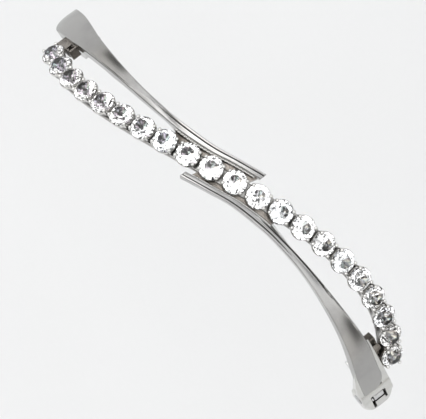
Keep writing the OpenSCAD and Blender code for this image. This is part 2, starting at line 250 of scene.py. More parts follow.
class Finish:
    """What a surface is made of. Each kind wires its own shader."""

    name = "finish"
    slot = "polished_plate"

    def material(self) -> bpy.types.Material:
        """The material, built once and then shared.

        Returns:
            The material with its node tree.
        """
        look = f"{self.name}_look"
        made = bpy.data.materials.get(look)
        if made is None:
            made = bpy.data.materials.new(look)
            made.use_nodes = True
            bench = Bench(made.node_tree)
            shader = self.wire_up(bench)
            bench.node("ShaderNodeOutputMaterial", None, {"Surface": shader.outputs[0]})
        return made

    def wire_up(self, bench: Bench) -> bpy.types.Node:
        """Adds the shader's nodes and returns the shader."""
        raise NotImplementedError


@dataclass(frozen=True)
class Plate(Finish):
    """Silver-coloured plating, with hairlines, faint smears and painted shade where the mesh says so."""

    name: str = "polished_plate"
    slot: str = "polished_plate"
    tone: tuple[float, float, float, float] = colour(0.42, 0.415, 0.405)
    smear_tone: tuple[float, float, float, float] = colour(0.375, 0.37, 0.365)
    shade_tone: tuple[float, float, float, float] = colour(0.045, 0.04, 0.035)
    roughness: float = 0.16
    smear: float = 0.05
    hairline_mm: float = 0.0016
    hairline_size: float = 0.10
    grain_mm: float = 0.0

    def wire_up(self, bench: Bench) -> bpy.types.Node:
        """Plating over fine hairlines that run along the piece."""
        painted_shade = bench.attribute(PAINTED_SHADE)
        broad = bench.noise(bench.place(), 5.0, 3.0)
        fine = bench.noise(bench.place(), 0.35, 4.0, 0.65)
        lines = bench.noise(bench.place((0.12, 1.0, 0.12)), self.hairline_size, 2.0, 0.5)
        smears = broad.ramp(0.42, 0.72)
        tone = bench.mixed(smears, self.tone, self.smear_tone)
        # Painted shade: where the mesh asks for it, the plate is darkened towards near-black, first in noisy
        # patches and then fully.
        patchy_shade = bench.mixed((fine * painted_shade * 1.6).clamped(), tone, self.shade_tone)
        final = bench.mixed(painted_shade.ramp(0.15, 0.95), patchy_shade, self.shade_tone)
        roughness = self.roughness + smears * self.smear + fine * 0.04 + painted_shade * 0.35
        height = lines * self.hairline_mm + fine * self.grain_mm
        normal = bench.bump(height, 1.0)
        inputs = {"Base Color": final, "Metallic": 1.0, "Roughness": roughness, "Normal": normal}
        return bench.node("ShaderNodeBsdfPrincipled", None, inputs)


@dataclass(frozen=True)
class Crystal(Finish):
    """Clear cut glass."""

    name: str = "crystal"
    slot: str = "crystal"
    index: float = 1.56

    def wire_up(self, bench: Bench) -> bpy.types.Node:
        """Glass with very faint polishing marks and a breath of tint that differs from stone to stone."""
        chance = bench.attribute(CHANCE)
        tone = bench.mixed(chance, colour(0.97, 0.985, 1.0), colour(1.0, 0.985, 0.965))
        marks = bench.noise(bench.place(), 0.5, 2.0)
        roughness = marks * 0.02
        inputs = {"Base Color": tone, "Roughness": roughness, "IOR": self.index, "Transmission Weight": 1.0,
                  "Specular IOR Level": 0.5}
        return bench.node("ShaderNodeBsdfPrincipled", None, inputs)


@dataclass(frozen=True)
class Foil(Finish):
    """The silvered back of a stone: every facet a little mirror, with painted reflections: random facets
    painted dark, and a pastel painted fire tint on each.
    """

    name: str = "stone_foil"
    slot: str = "crystal"
    painted_fire: float = 0.16

    def wire_up(self, bench: Bench) -> bpy.types.Node:
        """A mirror whose painted fire tint and painted dark reflections change from facet to facet."""
        chance = bench.attribute(FACET)
        # Painted fire: a pale hue on each facet stands in for the colours that a cut stone splits out of
        # light.
        fire_tint = bench.wire("ShaderNodeCombineColor", {"mode": "HSV"}, {0: chance, 1: self.painted_fire, 2: 1.0})
        # Painted reflections: a random share of facets is painted near-black, as if it mirrored dark
        # surroundings.
        dark_facet_pick = (chance * 7.31).fraction()
        shade = bench.mixed(dark_facet_pick.ramp(0.05, 0.9), grey(0.04), grey(0.40))
        tone = bench.mixed(1.0, fire_tint, shade, "MULTIPLY")
        specks = bench.noise(bench.place(), 0.25, 3.0)
        roughness = 0.03 + specks * 0.05
        inputs = {"Base Color": tone, "Metallic": 1.0, "Roughness": roughness}
        return bench.node("ShaderNodeBsdfPrincipled", None, inputs)


@dataclass(frozen=True)
class Rubber(Finish):
    """Soft matt rubber with a moulded grain."""

    name: str = "grip_rubber"
    slot: str = "grip_rubber"
    pebble: float = 0.12

    def wire_up(self, bench: Bench) -> bpy.types.Node:
        """Dark rubber with a pebbled skin and paler dust in patches."""
        pebbles = bench.wire("ShaderNodeTexVoronoi", {"feature": "SMOOTH_F1"},
                             {"Vector": bench.place(), "Scale": 1 / (self.pebble * MM)})
        dust = bench.noise(bench.place(), 1.4, 4.0)
        tone = bench.mixed(dust.ramp(0.45, 0.8), grey(0.045, 0.02), grey(0.10, 0.03))
        roughness = 0.62 + dust * 0.22
        inputs = {"Base Color": tone, "Roughness": roughness, "Normal": bench.bump(pebbles, 0.02)}
        return bench.node("ShaderNodeBsdfPrincipled", None, inputs)


@dataclass(frozen=True)
class Paper(Finish):
    """The plain pale floor."""

    name: str = "pale_floor"
    slot: str = ""
    tone: tuple[float, float, float, float] = grey(0.70)

    def wire_up(self, bench: Bench) -> bpy.types.Node:
        """Matt board with a faint tooth."""
        tooth = bench.noise(bench.place(), 0.8, 3.0)
        tone = bench.mixed(tooth, self.tone, grey(0.69))
        inputs = {"Base Color": tone, "Roughness": 0.9, "Normal": bench.bump(tooth, 0.01)}
        return bench.node("ShaderNodeBsdfPrincipled", None, inputs)


POLISHED = Plate()
BRIGHT = Plate(name="bright_plate", slot="bright_plate", tone=colour(0.72, 0.71, 0.69),
               smear_tone=colour(0.66, 0.655, 0.64), roughness=0.08, hairline_mm=0.0, grain_mm=0.004)
# Painted shade: a dark, mottled plate for the bridges and for the webs that show in the shaded gaps between
# the parts.
PAINTED_RECESS_SHADE = Plate(name="dark_recess", slot="dark_recess", tone=colour(0.34, 0.31, 0.28),
               smear_tone=colour(0.13, 0.115, 0.10), roughness=0.14, smear=0.18, hairline_mm=0.0,
               grain_mm=0.07)
JAW_PLATE = Plate(name="jaw_plate", slot="jaw_plate", tone=colour(0.66, 0.66, 0.66), roughness=0.14,
                  hairline_mm=0.003)
PIN_STEEL = Plate(name="pin_steel", slot="pin_steel", tone=colour(0.56, 0.56, 0.57), roughness=0.22,
                  hairline_mm=0.004)
SPRING_STEEL = Plate(name="spring_steel", slot="spring_steel", tone=colour(0.42, 0.42, 0.44), roughness=0.28,
                     hairline_mm=0.004)
HOOD_PLATE = Plate(name="hood_plate", tone=colour(0.66, 0.655, 0.63), smear_tone=colour(0.60, 0.60, 0.59),
                   roughness=0.2, grain_mm=0.002)
CRYSTAL = Crystal()
FOIL = Foil()
RUBBER = Rubber()


# ---------------------------------------------------------------------------------------------------
# Meshes
# ---------------------------------------------------------------------------------------------------


@dataclass
class Draft:
    """A mesh being drawn, in millimetres: points, faces and how much painted shade each point carries."""

    points: list[Sequence[float]] = field(default_factory=list)
    faces: list[tuple[int, ...]] = field(default_factory=list)
    painted_shade: list[float] = field(default_factory=list)

    def add(self, other: "Draft") -> "Draft":
        """Adds another draft's points and faces to this one, and returns this one."""
        start = len(self.points)
        self.points.extend(other.points)
        self.faces.extend(tuple(start + i for i in face) for face in other.faces)
        self.painted_shade.extend(other.painted_shade)
        return self

    def grid_solid(self, top: np.ndarray, bottom: np.ndarray, painted_shade: np.ndarray | None = None,
                   under_shade: float = 0.0) -> "Draft":
        """Adds a closed slab between two grids of points.

        Args:
            top: The upper grid, rows by columns by three.
            bottom: The lower grid, of the same shape.
            painted_shade: How much painted shade the upper grid's points carry.
            under_shade: How much painted shade the lower grid's points carry.

        Returns:
            This draft.
        """
        rows, columns = top.shape[:2]
        start = len(self.points)
        count = rows * columns
        self.points.extend(top.reshape(-1, 3).tolist())
        self.points.extend(bottom.reshape(-1, 3).tolist())
        self.painted_shade.extend((np.zeros(count) if painted_shade is None else painted_shade.reshape(-1)).tolist())
        self.painted_shade.extend([under_shade] * count)

        def up(i: int, j: int) -> int:
            """Number of a point of the upper grid."""
            return start + i * columns + j

        def down(i: int, j: int) -> int:
            """Number of a point of the lower grid."""
            return up(i, j) + count

        for i in range(rows - 1):
            for j in range(columns - 1):
                self.faces.append((up(i, j), up(i, j + 1), up(i + 1, j + 1), up(i + 1, j)))
                self.faces.append((down(i, j), down(i + 1, j), down(i + 1, j + 1), down(i, j + 1)))
            for j in (0, columns - 1):
                self.faces.append((up(i, j), up(i + 1, j), down(i + 1, j), down(i, j)))
        for j in range(columns - 1):
            for i in (0, rows - 1):
                self.faces.append((up(i, j), up(i, j + 1), down(i, j + 1), down(i, j)))
        return self

    def rings(self, rings: Sequence[np.ndarray], painted_shade: float = 0.0) -> "Draft":
        """Adds a tube through rings of points, with a cap on each end.

        Args:
            rings: Equal rings of points, each rows by three.
            painted_shade: How much painted shade the points carry.

        Returns:
            This draft.
        """
        start = len(self.points)
        count = len(rings[0])
        for ring in rings:
            self.points.extend(np.asarray(ring).tolist())
            self.painted_shade.extend([painted_shade] * count)
        last = start + (len(rings) - 1) * count
        for a in range(start, last, count):
            for j in range(count):
                k = (j + 1) % count
                self.faces.append((a + j, a + k, a + count + k, a + count + j))
        for a in (start, last):
            self.faces.append(tuple(range(a, a + count)))
        return self

    def turned(self, outline: Sequence[tuple[float, float]], steps: int = 32,
               painted_shade: Sequence[float] | None = None) -> "Draft":
        """Adds a closed solid of revolution about Z from a closed outline of (radius, height)."""
        start = len(self.points)
        count = len(outline)
        for i in range(steps):
            a = 2 * math.pi * i / steps
            for k, (radius, height) in enumerate(outline):
                self.points.append((radius * math.cos(a), radius * math.sin(a), height))
                self.painted_shade.append(painted_shade[k] if painted_shade else 0.0)
        for i in range(steps):
            a = start + i * count
            b = start + ((i + 1) % steps) * count
            for k in range(count):
                m = (k + 1) % count
                self.faces.append((a + k, a + m, b + m, b + k))
        return self

    def extruded(self, outline: Sequence[tuple[float, float]], y0: float, y1: float) -> "Draft":
        """Adds a prism across the clip, from y0 to y1, of an outline in X and Z."""
        return self.rings([np.array([(x, y, z) for x, z in outline]) for y in (y0, y1)])

    def build(self, name: str, sharp: float = 30.0) -> bpy.types.Object:
        """Makes the object, in metres, with outward faces.

        Args:
            name: The object's name.
            sharp: Edges bent by more than this many degrees are shaded sharp.

        Returns:
            The object, linked to the scene.
        """
        mesh = bpy.data.meshes.new(name)
        scaled = (np.asarray(self.points, float) * MM).tolist()
        mesh.from_pydata(scaled, [], self.faces)
        painted_shade = self.painted_shade if len(self.painted_shade) == len(self.points) else [0.0] * len(self.points)
        layer = mesh.attributes.new(PAINTED_SHADE, "FLOAT", "POINT")
        layer.data.foreach_set("value", painted_shade)
        obj = linked(name, mesh)
        tidy_mesh(obj, sharp)
        return obj


def tidy_mesh(obj: bpy.types.Object, sharp: float) -> None:
    """Merges doubled points, turns every face outwards and marks the sharp edges.

    Args:
        obj: The object whose mesh is tidied.
        sharp: Edges bent by more than this many degrees are shaded sharp.
    """
    bm = bmesh.new()
    bm.from_mesh(obj.data)
    bmesh.ops.remove_doubles(bm, verts=bm.verts, dist=WELD)
    bmesh.ops.dissolve_degenerate(bm, edges=bm.edges, dist=WELD * 0.1)
    bmesh.ops.recalc_face_normals(bm, faces=bm.faces)
    limit = math.radians(sharp)
    for face in bm.faces:
        face.smooth = True
    for edge in bm.edges:
        edge.smooth = len(edge.link_faces) == 2 and edge.calc_face_angle(0.0) < limit
    bm.to_mesh(obj.data)
    bm.free()


def frozen_mesh(obj: bpy.types.Object) -> bpy.types.Mesh:
    """A copy of the object's mesh as its modifiers leave it."""
    graph = bpy.context.evaluated_depsgraph_get()
    return bpy.data.meshes.new_from_object(obj.evaluated_get(graph), preserve_all_data_layers=True,
                                           depsgraph=graph)


def settle(obj: bpy.types.Object) -> None:
    """Turns the object's modifiers into plain mesh."""
    mesh = frozen_mesh(obj)
    obj.modifiers.clear()
    obj.data = mesh


def linked(name: str, mesh: bpy.types.Mesh) -> bpy.types.Object:
    """A new object with that mesh, linked to the scene."""
    obj = bpy.data.objects.new(name, mesh)
    bpy.context.scene.collection.objects.link(obj)
    return obj


def joined(name: str, parts: Sequence[bpy.types.Object]) -> bpy.types.Object:
    """Joins objects into one mesh of that name, and returns it."""
    bm = bmesh.new()
    for part in parts:
        mesh = frozen_mesh(part)
        bm.from_mesh(mesh)
        bpy.data.meshes.remove(mesh)
        bpy.data.objects.remove(part)
    mesh = bpy.data.meshes.new(name)
    bm.to_mesh(mesh)
    bm.free()
    return linked(name, mesh)


def cast(name: str, parts: Sequence[bpy.types.Object], voxel: float, smoothing: int) -> bpy.types.Object:
    """Melts overlapping solids into one casting with soft edges.

    Args:
        name: Name of the casting.
        parts: The solids, which are used up.
        voxel: Grid size in millimetres.
        smoothing: How many times the skin is smoothed.

    Returns:
        The casting.
    """
    obj = joined(name, parts)
    grid = obj.modifiers.new("melt", "REMESH")
    grid.mode = "VOXEL"
    grid.voxel_size = voxel * MM
    grid.use_smooth_shade = True
    soft = obj.modifiers.new("soften", "SMOOTH")
    soft.factor = 0.5
    soft.iterations = smoothing
    settle(obj)
    return obj


def cut(obj: bpy.types.Object, tools: Iterable[bpy.types.Object], operation: str = "DIFFERENCE",
        sharp: float = 30.0) -> bpy.types.Object:
    """Cuts tools out of an object, removes the tools, and returns the object."""
    for tool in tools:
        step = obj.modifiers.new("cut", "BOOLEAN")
        step.operation = operation
        step.solver = "EXACT"
        step.object = tool
        settle(obj)
        bpy.data.objects.remove(tool)
    tidy_mesh(obj, sharp)
    return obj


def paint_shade(obj: bpy.types.Object, rule: Callable[[np.ndarray], np.ndarray]) -> None:
    """Sets how much painted shade each point carries.

    Args:
        obj: The object.
        rule: Takes the points in millimetres, rows by three, and gives 0 to 1 for each.
    """
    mesh = obj.data
    flat = np.empty(len(mesh.vertices) * 3)
    mesh.vertices.foreach_get("co", flat)
    values = np.clip(rule(flat.reshape(-1, 3) / MM), 0.0, 1.0)
    layer = mesh.attributes.get(PAINTED_SHADE) or mesh.attributes.new(PAINTED_SHADE, "FLOAT", "POINT")
    layer.data.foreach_set("value", values.astype(float))


def smooth_step(low: float, high: float, x: Any) -> Any:
    """0 below low, 1 above high and a smooth rise between; low may be the larger."""
    t = np.clip((np.asarray(x, float) - low) / (high - low), 0.0, 1.0)
    return t * t * (3 - 2 * t)


def through(table: Sequence[Sequence[float]], x: Any, column: int) -> np.ndarray:
    """A smooth curve through the rows of a table, as in the CAD model.

    Args:
        table: Rows that start with their place along the curve, in rising order.
        x: Places to read.
        column: The column to read.

    Returns:
        The values at those places.
    """
    rows = np.asarray(table, float)
    at = np.asarray(x, float)
    i = np.clip(np.searchsorted(rows[:, 0], at, side="right") - 1, 0, len(rows) - 2)
    before = np.maximum(np.arange(len(rows)) - 1, 0)
    after = np.minimum(np.arange(len(rows)) + 1, len(rows) - 1)
    slopes = (rows[after, column] - rows[before, column]) / (rows[after, 0] - rows[before, 0])
    width = rows[i + 1, 0] - rows[i, 0]
    t = (at - rows[i, 0]) / width
    first = (2 * t**3 - 3 * t**2 + 1) * rows[i, column] + (t**3 - 2 * t**2 + t) * width * slopes[i]
    second = (3 * t**2 - 2 * t**3) * rows[i + 1, column] + (t**3 - t**2) * width * slopes[i + 1]
    return first + second


class Yard:
    """Hands finished pieces over to the frame: finish, body, and the CAD nodes that they stand for."""

    def __init__(self) -> None:
        """Starts with nothing handed over."""
        self.count = 0

    def deliver(self, obj: bpy.types.Object, body: Body, finish: Finish,
                replaces: Sequence[str] = ()) -> None:
        """Dresses a piece and puts it on its body.

        Args:
            obj: The finished piece.
            body: The body that it moves with.
            finish: What it is made of.
            replaces: The CAD nodes that it stands for.
        """
        if not obj.data.materials:
            obj.data.materials.append(finish.material())
        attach(obj, body.value)
        if replaces:
            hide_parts(*replaces)
        self.count += 1
        log.info("%s rides on %s, %d faces, stands for %s", obj.name, body.value, len(obj.data.polygons),
                 ", ".join(replaces[:3]) + (" ..." if len(replaces) > 3 else "") or "nothing")

    def redress(self, node: bpy.types.Object, finish: Finish) -> None:
        """Gives a CAD node a finish of its own."""
        node.data.materials.clear()
        node.data.materials.append(finish.material())
        log.info("%s keeps its CAD shape in %s", node.name, finish.name)


# ---------------------------------------------------------------------------------------------------
# Geometry node trees
# ---------------------------------------------------------------------------------------------------


class Tree:
    """A Geometry Nodes tree with named inputs. Subclasses lay out the nodes."""

    name = "tree"
    inputs: dict[str, str] = {}

    def __init__(self) -> None:
        """Builds the tree with its inputs and its Geometry output."""
        self.group = bpy.data.node_groups.new(self.name, "GeometryNodeTree")
        self.bench = Bench(self.group)
        face = self.group.interface
        face.new_socket("Geometry", in_out="INPUT", socket_type="NodeSocketGeometry")
        for label, kind in self.inputs.items():
            face.new_socket(label, in_out="INPUT", socket_type=kind)
        face.new_socket("Geometry", in_out="OUTPUT", socket_type="NodeSocketGeometry")
        self.given = self.bench.node("NodeGroupInput").outputs
        result = self.lay_out()
        self.bench.node("NodeGroupOutput", None, {0: result})

    def lay_out(self) -> bpy.types.NodeSocket:
        """Adds the tree's nodes and returns the finished geometry."""
        raise NotImplementedError

    def finished(self, geometry: bpy.types.NodeSocket) -> bpy.types.NodeSocket:
        """Makes instances real and gives them their finish, as every tree ends.

        Args:
            geometry: The instances, or the mesh.

        Returns:
            The geometry to put out.
        """
        real = self.bench.out("GeometryNodeRealizeInstances", None, {"Geometry": geometry})
        dress = {"Geometry": real, "Material": self.given["Finish"]}
        return self.bench.out("GeometryNodeSetMaterial", None, dress)

    def grow(self, name: str, start: bpy.types.Mesh, values: dict[str, Any],
             finish: Finish) -> bpy.types.Object:
        """Runs the tree on a mesh and returns the result as a plain mesh object.

        Args:
            name: The object's name.
            start: The mesh that the tree starts from.
            values: Values of the tree's inputs, by name.
            finish: What the result is made of.

        Returns:
            The object, with no modifier left on it.
        """
        obj = linked(name, start)
        tool = obj.modifiers.new(self.name, "NODES")
        tool.node_group = self.group
        given = {**values, "Finish": finish.material()}
        for item in self.group.interface.items_tree:
            if item.item_type == "SOCKET" and item.in_out == "INPUT" and item.name in given:
                tool[item.identifier] = given[item.name]
        settle(obj)
        return obj


class SettingTree(Tree):
    """Puts one unit on every point of a mesh, turned to the point's own directions."""

    name = "set_units"
    inputs = {"Unit": "NodeSocketObject", "Size": "NodeSocketFloat", "Turn": "NodeSocketFloat",
              "Loose Turn": "NodeSocketFloat", "Seed": "NodeSocketInt", "Finish": "NodeSocketMaterial"}

    def direction(self, name: str) -> bpy.types.NodeSocket:
        """A direction that the points carry."""
        return self.bench.out("GeometryNodeInputNamedAttribute", {"data_type": "FLOAT_VECTOR"},
                              {"Name": name})

    def chance(self, low: float) -> bpy.types.NodeSocket:
        """A seeded random number from low to 1 for each point."""
        return self.bench.out("FunctionNodeRandomValue", {"data_type": "FLOAT"},
                              {"Min": low, "Max": 1.0, "Seed": self.given["Seed"]}, "Value")

    def lay_out(self) -> bpy.types.NodeSocket:
        """Aligns Z outwards and X along the row, adds a small seeded turn, and places the units."""
        bench, given = self.bench, self.given
        upright = bench.out("FunctionNodeAlignRotationToVector", {"axis": "Z"},
                            {"Vector": self.direction("out")})
        along = bench.out("FunctionNodeAlignRotationToVector", {"axis": "X", "pivot_axis": "Z"},
                          {"Rotation": upright, "Vector": self.direction("along")})
        turn = Wire(bench, self.chance(-1.0)) * Wire(bench, given["Loose Turn"]) + Wire(bench, given["Turn"])
        spin = bench.out("FunctionNodeAxisAngleToRotation", None, {"Axis": (0, 0, 1), "Angle": turn})
        rotation = bench.out("FunctionNodeRotateRotation", {"rotation_space": "LOCAL"},
                             {"Rotation": along, "Rotate By": spin})
        unit = bench.out("GeometryNodeObjectInfo", {"transform_space": "ORIGINAL"},
                         {"Object": given["Unit"]}, "Geometry")
        placed = bench.out("GeometryNodeInstanceOnPoints", None,
                           {"Points": given["Geometry"], "Instance": unit, "Rotation": rotation,
                            "Scale": given["Size"]})
        marked = bench.out("GeometryNodeStoreNamedAttribute", {"data_type": "FLOAT", "domain": "INSTANCE"},
                           {"Geometry": placed, "Name": CHANCE, "Value": self.chance(0.0)})
        return self.finished(marked)


class CoilTree(Tree):
    """A close-wound spring with two straight legs."""

    name = "wind_coil"
    inputs = {"Turns": "NodeSocketFloat", "Coil Radius": "NodeSocketFloat", "Length": "NodeSocketFloat",
              "Wire Radius": "NodeSocketFloat", "Leg": "NodeSocketFloat", "Finish": "NodeSocketMaterial"}

    def point(self, *parts: Any) -> bpy.types.NodeSocket:
        """A point from its three numbers."""
        return self.bench.out("ShaderNodeCombineXYZ", None, dict(enumerate(parts)))

    def lay_out(self) -> bpy.types.NodeSocket:
        """Winds a helix about Z, adds a leg at each end and runs a round wire along them."""
        bench, given = self.bench, self.given
        radius, length = given["Coil Radius"], given["Length"]
        helix = bench.out("GeometryNodeCurveSpiral", None,
                          {"Resolution": 28, "Rotations": given["Turns"], "Start Radius": radius,
                           "End Radius": radius, "Height": length})
        reach, wide = Wire(bench, given["Leg"]), Wire(bench, radius)
        angle = Wire(bench, given["Turns"]) * (2 * math.pi)
        end_x, end_y = angle.cosine() * wide, angle.sine() * wide
        tip_x, tip_y = end_x - angle.sine() * reach, end_y + angle.cosine() * reach
        ends = ((self.point(radius, 0.0, 0.0), self.point(radius, reach * -1.0, 0.0)),
                (self.point(end_x, end_y, length), self.point(tip_x, tip_y, length)))
        join = bench.node("GeometryNodeJoinGeometry")
        bench.tree.links.new(helix, join.inputs[0])
        for start, end in ends:
            leg = bench.out("GeometryNodeCurvePrimitiveLine", None, {"Start": start, "End": end})
            bench.tree.links.new(leg, join.inputs[0])
        ring = bench.out("GeometryNodeCurvePrimitiveCircle", None,
                         {"Resolution": 10, "Radius": given["Wire Radius"]})
        wire = bench.out("GeometryNodeCurveToMesh", None,
                         {"Curve": join.outputs[0], "Profile Curve": ring, "Fill Caps": True})
        return self.finished(bench.out("GeometryNodeSetShadeSmooth", None, {"Geometry": wire}))


class BeadTree(Tree):
    """A string of equal beads along a chain of edges."""

    name = "string_beads"
    inputs = {"Spacing": "NodeSocketFloat", "Bead Radius": "NodeSocketFloat", "Finish": "NodeSocketMaterial"}

    def lay_out(self) -> bpy.types.NodeSocket:
        """Measures the beads off along the chain."""
        bench, given = self.bench, self.given
        chain = bench.out("GeometryNodeMeshToCurve", None, {"Mesh": given["Geometry"]})
        points = bench.out("GeometryNodeCurveToPoints", {"mode": "LENGTH"},
                           {"Curve": chain, "Length": given["Spacing"]})
        ball = bench.out("GeometryNodeMeshIcoSphere", None,
                         {"Radius": given["Bead Radius"], "Subdivisions": 3})
        bead = bench.out("GeometryNodeSetShadeSmooth", None, {"Geometry": ball})
        return self.finished(bench.out("GeometryNodeInstanceOnPoints", None,
                                       {"Points": points, "Instance": bead}))


def marked_points(name: str, places: np.ndarray, outs: np.ndarray, alongs: np.ndarray) -> bpy.types.Mesh:
    """A mesh of loose points that carry two directions each.

    Args:
        name: The mesh's name.
        places: The points in metres.
        outs: Each point's outward direction.
        alongs: Each point's direction along its row.

    Returns:
        The mesh.
    """
    mesh = bpy.data.meshes.new(name)
    mesh.from_pydata(places.tolist(), [], [])
    for label, values in (("out", outs), ("along", alongs)):
        layer = mesh.attributes.new(label, "FLOAT_VECTOR", "POINT")
        layer.data.foreach_set("vector", np.asarray(values, float).reshape(-1))
    return mesh


def chain_mesh(name: str, places: np.ndarray) -> bpy.types.Mesh:
    """A mesh of edges in one chain through points in metres."""
    mesh = bpy.data.meshes.new(name)
    mesh.from_pydata(places.tolist(), [(i, i + 1) for i in range(len(places) - 1)], [])
    return mesh


# ---------------------------------------------------------------------------------------------------
# The arch and the row of stones
# ---------------------------------------------------------------------------------------------------


@dataclass(frozen=True)
class Arch:
    """The upright cylinder section that the clip follows. Millimetres."""

    centre_x: float
    top_z: float
    radius: float = 45.0
    pitch: float = 4.3
    face_rise: float = 0.2
    blade_thickness: float = 2.0
    rail_thickness: float = 1.0

    @classmethod
    def measured(cls) -> "Arch":
        """Reads the arch's place from the boxes of the two webs, which mirror each other, and of a blade."""
        upper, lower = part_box("upper_web"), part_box("lower_web")
        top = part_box("right_blade")[1].z / MM - cls.face_rise
        return cls(centre_x=(upper[0].x + lower[1].x) / 2 / MM, top_z=top)

    def place(self, u: Any, y: Any, h: Any, flip: bool = False) -> np.ndarray:
        """Rolls unrolled places onto the arch.

        Args:
            u: Distances along the arch in pitches.
            y: Distances across, in millimetres.
            h: Heights over the girdle surface, in millimetres.
            flip: Whether the places are turned half round about the clip's upright middle line.

        Returns:
            Points in millimetres, with a last axis of three.
        """
        angle = np.asarray(u, float) * self.pitch / self.radius
        r = self.radius + np.asarray(h, float)
        x, across, z = np.broadcast_arrays(r * np.sin(angle), np.asarray(y, float), r * np.cos(angle))
        side = -1.0 if flip else 1.0
        return np.stack([self.centre_x + side * x, side * across, self.top_z - self.radius + z], axis=-1)

    def outward(self, u: float) -> np.ndarray:
        """Outward direction at a distance u from the apex."""
        angle = u * self.pitch / self.radius
        return np.array([math.sin(angle), 0.0, math.cos(angle)])

    def forward(self, u: float, turn: float) -> np.ndarray:
        """Direction along the surface that is turned by turn radians from the arch's own."""
        angle = u * self.pitch / self.radius
        return np.array([math.cos(angle) * math.cos(turn), math.sin(turn), -math.sin(angle) * math.cos(turn)])


@dataclass(frozen=True)
class StoneRow:
    """The winding line of the stones in the unrolled arch. Angles in degrees, lengths in pitches."""

    arch: Arch
    count: int = 21
    slope: float = 20.53
    bend: float = 0.3109
    curl: float = 0.000693
    shift: float = 0.5

    def direction(self, s: Any) -> np.ndarray:
        """The row's direction in radians at a distance s along it from its middle."""
        at = np.asarray(s, float)
        return np.radians(self.slope - self.bend * at**2 - self.curl * at**4)

    def line(self, s: float) -> tuple[float, float]:
        """Place on the row's middle line: u in pitches and y in millimetres."""
        steps = np.linspace(0.0, s, 65)
        turn = self.direction(steps)
        width = s / 64
        weight = np.ones(65)
        weight[1:-1:2], weight[2:-1:2] = 4, 2
        u = float((np.cos(turn) * weight).sum() * width / 3)
        y = float((np.sin(turn) * weight).sum() * width / 3) * self.arch.pitch
        return u, y

    def beside(self, s: float, away: float) -> tuple[float, float]:
        """A place away millimetres to the left of the line, seen from outside."""
        u, y = self.line(s)
        turn = float(self.direction(s))
        return u - away * math.sin(turn) / self.arch.pitch, y + away * math.cos(turn)

    def stations(self) -> list[float]:
        """Distances of the stones along the row."""
        middle = (self.count - 1) / 2
        return [i - middle + self.shift for i in range(self.count)]

    def names(self, stem: str) -> list[str]:
        """The CAD nodes' names, one for each stone."""
        return [f"{stem}_{i:02d}" for i in range(1, self.count + 1)]

    def seats(self) -> bpy.types.Mesh:
        """Points at the stones' girdles, with their directions."""
        places, outs, alongs = [], [], []
        for s in self.stations():
            u, y = self.line(s)
            places.append(self.arch.place(u, y, 0.0) * MM)
            outs.append(self.arch.outward(u))
            alongs.append(self.arch.forward(u, float(self.direction(s))))
        return marked_points("stone_seats", np.array(places), np.array(outs), np.array(alongs))


# ---------------------------------------------------------------------------------------------------
# Stones and cups
# ---------------------------------------------------------------------------------------------------


